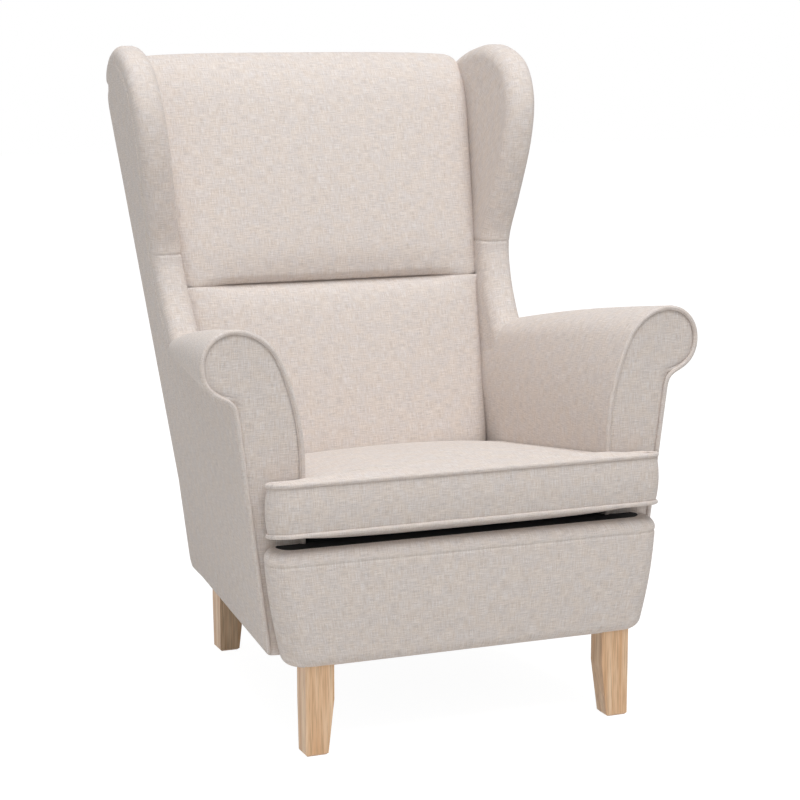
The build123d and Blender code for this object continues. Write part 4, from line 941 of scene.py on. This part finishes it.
def pad_surface(face, rear):
    """Section of a pad swept between the wings: crowned across, drawn in at the seam, and turned back at both
    sides and at the top corners by quarter rounds."""
    section = np.column_stack([BACK_Y + BACK_LEAN * (face[:, 0] - BACK_Z), face])
    section = np.concatenate([section, np.pad(rear, ((0, 0), (0, 2)))])
    section = smooth_line(section, PAD_ROWS)
    y, z, back_set, crown = (column[:, None] for column in section.T)
    w = np.concatenate([[-1], eased(PAD_COLUMNS, -1, 1), [1]])
    wall = np.concatenate([[PAD_WALL], np.zeros(PAD_COLUMNS), [PAD_WALL]])
    near_seam = np.exp(-((z - CREASE_Z) / CREASE_REACH) ** 2)
    fade = np.clip((np.abs(w) - CREASE_FADE[0]) / CREASE_FADE[1], 0, 1)
    back_set = back_set * (1 - CREASE_END * near_seam * fade**2 * (3 - 2 * fade))
    half = side_x(y, z, PAD_SIDE)
    x = half * w
    corner = np.clip((np.abs(x) - half + PAD_CORNER_R) / PAD_CORNER_R, 0, 1)
    fall = PAD_CORNER_R * (1 - np.sqrt(1 - CORNER_LIMIT * corner**2)) + PAD_TOP_FALL * np.abs(w) ** 4
    z = z - fall * np.clip((z - PAD_TOP_FROM) / (PAD_TOP_Z - PAD_TOP_FROM), 0, 1) ** PAD_TOP_POWER
    edge = np.clip((np.abs(x) - half + PAD_EDGE_R) / PAD_EDGE_R, 0, 1)
    round_off = PAD_EDGE_R * (1 - np.sqrt(1 - EDGE_LIMIT * edge**2))
    wave = 2 * np.pi * x / PUCKER_STEP + PUCKER_DRIFT[0] * np.sin(PUCKER_DRIFT[1] * x)
    pucker = PUCKER * near_seam * np.sin(wave) * (1 - w**8)
    rows = np.arange(PAD_ROWS)[:, None]
    on_front = np.clip((np.argmax(section[:, 1]) - rows) / PAD_FRONT_FADE, 0, 1)
    y = y + back_set - crown * (1 - np.abs(w) ** PAD_CROWN_POWER) + pucker + (round_off + wall) * on_front
    grid = np.stack(np.broadcast_arrays(x, y, z), axis=-1)
    v = lengths(grid[:, grid.shape[1] // 2])[:, None]
    return grid, np.stack(np.broadcast_arrays(x, v), axis=-1)


for name, face, rear in (("upper", UPPER_FACE, UPPER_REAR), ("lower", LOWER_FACE, np.zeros((0, 2)))):
    grid, uv = pad_surface(face, rear)
    pad = surface(f"{name}_back_pad", grid, uv, PAD_HEART, "chair")
    upholster(pad, f"{name}_back_cover", f"{name}_back_foam", fill=0.8)

# Seat cushion: a loose foam cushion with ears that wrap the arm fronts. Its cloth is a top, a bottom and
# a boxing strip, sewn with piping of the same cloth, and it lies on the deck without any fixing.
CUSHION_FRONT = -0.403
CUSHION_REAR = 0.068
CUSHION_LOW = 0.340
CUSHION_BOXING = 0.075
CUSHION_FALL = np.tan(np.radians(7.5))
CUSHION_BODY = 0.244
CUSHION_HEART = (0, -0.2, 0.36)
EAR_HALF = 0.315
EAR_REAR = -0.3495
EAR_BLEND = 0.035
# Radii at the ear's front and rear, at the inner corner behind the ear and at the rear.
CORNER_R = (0.028, 0.022, 0.008, 0.024)
BOXING_SWELL = 0.005
BOXING_SWELL_POWER = 0.8
BOXING_IN = 0.0006
CUSHION_CROWN = 0.014
CROWN_BELOW = 0.0122
CROWN_REACH = 0.045
FRONT_BELLY = 0.014
BELLY_Y = -0.372
BELLY_REACH = 0.02
WELT_DIP = 0.0035
WELT_DIP_REACH = 0.004
PIPING_OUT = 0.0006
# The rings over top and bottom close in first on a lane along the middle, and then on a ridge in the lane.
LANE_HALF = 0.11
LANE_Y = (-0.365, -0.04)
RIDGE_Y = (-0.30, -0.10)
RIM_POINTS = 560
ARC_POINTS = 14
LANE_RINGS = 43
RIDGE_RINGS = 13
BOXING_RINGS = 26
PLUMP_SPACING = 4
PLUMP_PRESSURE = 4.0
PLUMP_STEPS = 20
PLUMP_CAP = 0.010


def cushion_outline(count):
    """T-shaped plan as an even closed line: straight sides with a quarter circle at every corner."""
    right = np.array([(EAR_HALF, CUSHION_FRONT), (EAR_HALF, EAR_REAR), (CUSHION_BODY, EAR_REAR),
                      (CUSHION_BODY, CUSHION_REAR)])
    corners = np.concatenate([right, right[::-1] * (-1, 1)])
    radii = np.array(CORNER_R + CORNER_R[::-1])[:, None]
    before = np.roll(corners, 1, axis=0) - corners
    after = np.roll(corners, -1, axis=0) - corners
    before = before / np.linalg.norm(before, axis=1, keepdims=True)
    after = after / np.linalg.norm(after, axis=1, keepdims=True)
    t = np.linspace(0, np.pi / 2, ARC_POINTS)[:, None, None]
    centre = corners + radii * (before + after)
    arcs = centre - radii * (np.sin(t) * before + np.cos(t) * after)
    arcs = arcs.transpose(1, 0, 2).reshape(-1, 2)
    closed = np.concatenate([arcs, arcs[:1]])
    return resampled(closed, count + 1)[:-1]


def low_seam_z(y):
    """Height of the lower seam at y: a plane that falls towards the rear."""
    return CUSHION_LOW - CUSHION_FALL * (y - CUSHION_FRONT)


def cushion_swell(x, y):
    """Share of the full crown over the plan: for the distance to each edge, one less a falling exponential,
    and the three multiplied, so that it is nought at the seam and levels off inside."""
    ear = np.clip((EAR_REAR - y) / EAR_BLEND, 0, 1)
    half = CUSHION_BODY + (EAR_HALF - CUSHION_BODY) * ear**2 * (3 - 2 * ear)
    gaps = (y - CUSHION_FRONT, CUSHION_REAR - y, half - np.abs(x))
    return np.prod([1 - np.exp(-np.clip(gap, 0, None) / CROWN_REACH) for gap in gaps], axis=0)


def plumped(grid, loose, inside):
    """The closed grid with the rows from loose on blown out by the filling, and the rest held.

    Every fourth point makes a cloth that a light pressure moves for twenty steps. Its movement, kept within a
    limit, is spread over the points between in proportion to their places on the grid."""
    rows = np.union1d(np.arange(0, len(grid), PLUMP_SPACING), (loose, len(grid) - 1))
    columns = np.arange(0, grid.shape[1], PLUMP_SPACING)
    coarse = grid[rows][:, columns]
    places, welded = np.unique(np.round(coarse.reshape(-1, 3), 5), axis=0, return_inverse=True)
    welded = welded.reshape(coarse.shape[:2])
    point = np.concatenate([welded, welded[:, :1]], axis=1)
    near, far = point[:-1], point[1:]
    halves = ((near[:, :-1], near[:, 1:], far[:, 1:]), (near[:, :-1], far[:, 1:], far[:, :-1]))
    triangles = np.concatenate([np.stack(half, axis=-1).reshape(-1, 3) for half in halves])
    triangles = triangles[(triangles != np.roll(triangles, 1, axis=1)).all(axis=1)]
    one, two, three = (places[triangles[:, i]] for i in range(3))
    if (np.cross(two - one, three - one) * (one - np.array(inside))).sum() < 0:
        triangles = triangles[:, ::-1]
    mesh = bpy.data.meshes.new("cover_trial")
    mesh.from_pydata(places.tolist(), [], triangles.tolist())
    trial = bpy.data.objects.new("cover_trial", mesh)
    scene = bpy.context.scene
    scene.collection.objects.link(trial)
    sewn = trial.vertex_groups.new(name="sewn")
    sewn.add(np.unique(welded[rows <= loose]).tolist(), 1.0, "REPLACE")
    cloth_sim = trial.modifiers.new("filling", "CLOTH")
    cloth_sim.settings.vertex_group_mass = sewn.name
    cloth_sim.settings.use_pressure = True
    cloth_sim.settings.uniform_pressure_force = PLUMP_PRESSURE
    cloth_sim.settings.effector_weights.gravity = 0.0
    for step in range(1, PLUMP_STEPS + 1):
        scene.frame_set(step)
    settled = trial.evaluated_get(bpy.context.evaluated_depsgraph_get()).data
    moved = np.empty(3 * len(places))
    settled.vertices.foreach_get("co", moved)
    move = (moved.reshape(-1, 3) - places)[welded]
    bpy.data.objects.remove(trial)
    bpy.data.meshes.remove(mesh)
    scene.frame_set(1)
    size = np.linalg.norm(move, axis=-1, keepdims=True)
    move = move * np.minimum(1, PLUMP_CAP / np.maximum(size, 1e-9))
    by_row = np.stack([np.interp(np.arange(len(grid)), rows, unit) for unit in np.eye(len(rows))], axis=1)
    by_column = np.stack([np.interp(np.arange(grid.shape[1]), columns, unit, period=grid.shape[1])
                          for unit in np.eye(len(columns))], axis=1)
    shift = np.einsum("ia,abk,jb->ijk", by_row, move, by_column)
    # Both sides of the middle line move alike, so that it stays closed.
    order = np.argsort(coarse[-1, :, 1])
    middle = [np.interp(grid[-1, :, 1], coarse[-1, order, 1], move[-1, order, axis]) for axis in (1, 2)]
    shift[-1] = np.stack([np.zeros(grid.shape[1]), *middle], axis=-1)
    return grid + shift


def cushion_surface():
    """Rings from the middle of the bottom out to the lower seam, up the boxing and in over the top. Top and
    bottom are the seam's plane and a crown, and the boxing bulges as a parabola to a power."""
    rim = cushion_outline(RIM_POINTS)
    lane = np.stack([np.clip(rim[:, 0], -LANE_HALF, LANE_HALF), np.clip(rim[:, 1], *LANE_Y)], axis=-1)
    ridge = np.stack([0 * rim[:, 0], np.clip(rim[:, 1], *RIDGE_Y)], axis=-1)
    out = quarter_turned(rim)
    to_lane = 1 - (1 - np.linspace(0, 1, LANE_RINGS + 1)[1:, None, None]) ** 2
    to_ridge = np.linspace(0, 1, RIDGE_RINGS + 1)[1:, None, None]
    fill = np.concatenate([rim + (lane - rim) * to_lane, lane + (ridge - lane) * to_ridge])
    swell = cushion_swell(fill[..., 0], fill[..., 1])
    seam_z = low_seam_z(fill[..., 1])
    dip = WELT_DIP * np.exp(-np.linalg.norm(fill - rim, axis=-1) / WELT_DIP_REACH)
    top_z = seam_z + CUSHION_BOXING + CUSHION_CROWN * swell - dip
    belly = FRONT_BELLY * np.exp(-((fill[..., 1] - BELLY_Y) / BELLY_REACH) ** 2)
    low_z = seam_z - (CROWN_BELOW + belly) * swell + dip
    top = np.concatenate([fill, top_z[..., None]], axis=-1)
    low = np.concatenate([fill, low_z[..., None]], axis=-1)[::-1]
    level = np.linspace(0, 1, BOXING_RINGS)[:, None]
    bulge = BOXING_SWELL * (4 * level * (1 - level)) ** BOXING_SWELL_POWER - BOXING_IN
    strip = rim[None] + out[None] * bulge[..., None]
    strip_z = low_seam_z(strip[..., 1]) + CUSHION_BOXING * level
    boxing = np.concatenate([strip, strip_z[..., None]], axis=-1)
    grid = np.concatenate([low, boxing, top])
    around = lengths(np.concatenate([rim, rim[:1]]))
    uv = np.concatenate([grid[..., :2], grid[:, :1, :2]], axis=1)
    band = slice(len(low), len(low) + BOXING_RINGS)
    uv[band] = np.stack(np.broadcast_arrays(around, CUSHION_BOXING * level), axis=-1)
    grid = plumped(grid, band.stop - 1, CUSHION_HEART)
    return grid, uv, rim, out


grid, uv, rim, out = cushion_surface()
cushion = surface("seat_cushion_pad", grid, uv, CUSHION_HEART, "seat_cushion", wrap=True, weld=True)
upholster(cushion, "seat_cushion_cover", "seat_cushion_foam", fill=0.75)
for name, level in (("bottom", 0.0), ("top", CUSHION_BOXING)):
    line = rim + out * PIPING_OUT
    height = low_seam_z(line[:, 1]) + level
    path = np.concatenate([line, height[:, None]], axis=-1)
    piping = tube(f"seat_cushion_{name}_piping", path, WELT_R, CUSHION_HEART, "seat_cushion", closed=True)
    upholster(piping, f"seat_cushion_{name}_welt")

# Zip: a coil zip of nylon sewn into the rear boxing, in tape of the cloth's colour, so that the cover can
# come off. It gives the eye a fine even ribbing with a slight gloss.
TOOTH = 0.0022
TOOTH_RELIEF = 0.0005
# A wave texture of scale 1 repeats every tenth of pi.
WAVE_REPEAT = 0.314
zip_tape, tree, shader = finish_of("nylon_coil_zip", {"Roughness": 0.5, "IOR": 1.5})
place = add(tree, "ShaderNodeTexCoord")
teeth = add(tree, "ShaderNodeTexWave", {"Vector": place.outputs["Object"], "Scale": WAVE_REPEAT / TOOTH},
            bands_direction="X")
tint = add(tree, "ShaderNodeValToRGB", {"Fac": teeth.outputs["Fac"]},
           stops=((0.3, "#9c9288"), (0.7, "#c9bfb4")))
relief = add(tree, "ShaderNodeBump", {"Height": teeth.outputs["Fac"], "Strength": 0.5,
                                      "Distance": TOOTH_RELIEF})
wire(tree, shader, {"Base Color": tint.outputs["Color"], "Normal": relief.outputs["Normal"]})
nodes["seat_cushion_zip"].material_slots[0].material = zip_tape

# Stage: a pale floor that keeps the chair's shadow, a white studio round it, large soft lamps, and a camera
# where the photograph was taken from.
FLOOR = 14.0
FLOOR_SEEN = 0.72
FLOOR_GLOW = 1.32
STUDIO_LIGHT = 0.335
LAMP_AIM = Vector((0, 0, 0.5))
# Each lamp is its name, place, width and height, and watts.
LAMPS = (("front_left", (-1.6, -3.0, 1.6), (2.2, 2.2), 6), ("top", (0.1, -1.7, 5.2), (4.2, 4.2), 230),
         ("left_fill", (-3.0, 0.2, 1.3), (1.8, 2.2), 7))
CAMERA_PLACE = (-1.2705, -3.2286, 1.0712)
CAMERA_YAW = 0.3860
CAMERA_PITCH = 0.1758
FOCAL_PIXELS = 2129.0
FRAME_PIXELS = 800
SENSOR = 36.0
stage = bpy.context.scene


def seen_directly(tree):
    """Socket that is 1 for rays from the camera, off a gloss or through glass, and 0 for all others: the
    largest of the three outputs."""
    ray = add(tree, "ShaderNodeLightPath").outputs
    plain = add(tree, "ShaderNodeMath", {0: ray["Is Camera Ray"], 1: ray["Is Glossy Ray"]},
                operation="MAXIMUM")
    most = add(tree, "ShaderNodeMath", {0: plain.outputs["Value"], 1: ray["Is Transmission Ray"]},
               operation="MAXIMUM")
    return most.outputs["Value"]


floor_mesh = bpy.data.meshes.new("floor")
floor_corners = [(-FLOOR, -FLOOR, 0), (FLOOR, -FLOOR, 0), (FLOOR, FLOOR, 0), (-FLOOR, FLOOR, 0)]
floor_mesh.from_pydata(floor_corners, [], [(0, 1, 2, 3)])
floor = bpy.data.objects.new("floor", floor_mesh)
stage.collection.objects.link(floor)
# Painted floor: an even matt grey, so pale that it reads as white once its glow for the camera is added.
pale, tree, shader = finish_of("pale_studio_floor", {"Roughness": 0.9, "Base Color": srgb("#e2e1df")})
share = add(tree, "ShaderNodeMath", {0: seen_directly(tree), 1: FLOOR_SEEN}, operation="MULTIPLY")
glow = add(tree, "ShaderNodeEmission", {"Color": srgb("#ffffff"), "Strength": FLOOR_GLOW})
both = add(tree, "ShaderNodeMixShader", {0: share.outputs["Value"], 1: shader.outputs["BSDF"],
                                         2: glow.outputs["Emission"]})
wire(tree, tree.nodes["Material Output"], {"Surface": both.outputs["Shader"]})
floor_mesh.materials.append(pale)

world = bpy.data.worlds.new("studio")
stage.world = world
world.use_nodes = True
tree = world.node_tree
level = add(tree, "ShaderNodeMapRange", {"Value": seen_directly(tree), "To Min": STUDIO_LIGHT, "To Max": 1.0})
wire(tree, tree.nodes["Background"], {"Color": srgb("#ffffff"), "Strength": level.outputs["Result"]})

for name, place, size, watts in LAMPS:
    light = bpy.data.lights.new(name, "AREA")
    light.shape = "RECTANGLE"
    light.size, light.size_y = size
    light.energy = watts
    lamp = bpy.data.objects.new(name, light)
    stage.collection.objects.link(lamp)
    lamp.location = place
    lamp.rotation_mode = "QUATERNION"
    lamp.rotation_quaternion = (Vector(place) - LAMP_AIM).to_track_quat("Z", "Y")

camera_data = bpy.data.cameras.new("camera")
camera_data.sensor_width = SENSOR
camera_data.lens = FOCAL_PIXELS * SENSOR / FRAME_PIXELS
camera = bpy.data.objects.new("camera", camera_data)
stage.collection.objects.link(camera)
camera.location = CAMERA_PLACE
camera.rotation_euler = (np.pi / 2 - CAMERA_PITCH, 0, -CAMERA_YAW)
stage.camera = camera
stage.view_settings.view_transform = "Standard"
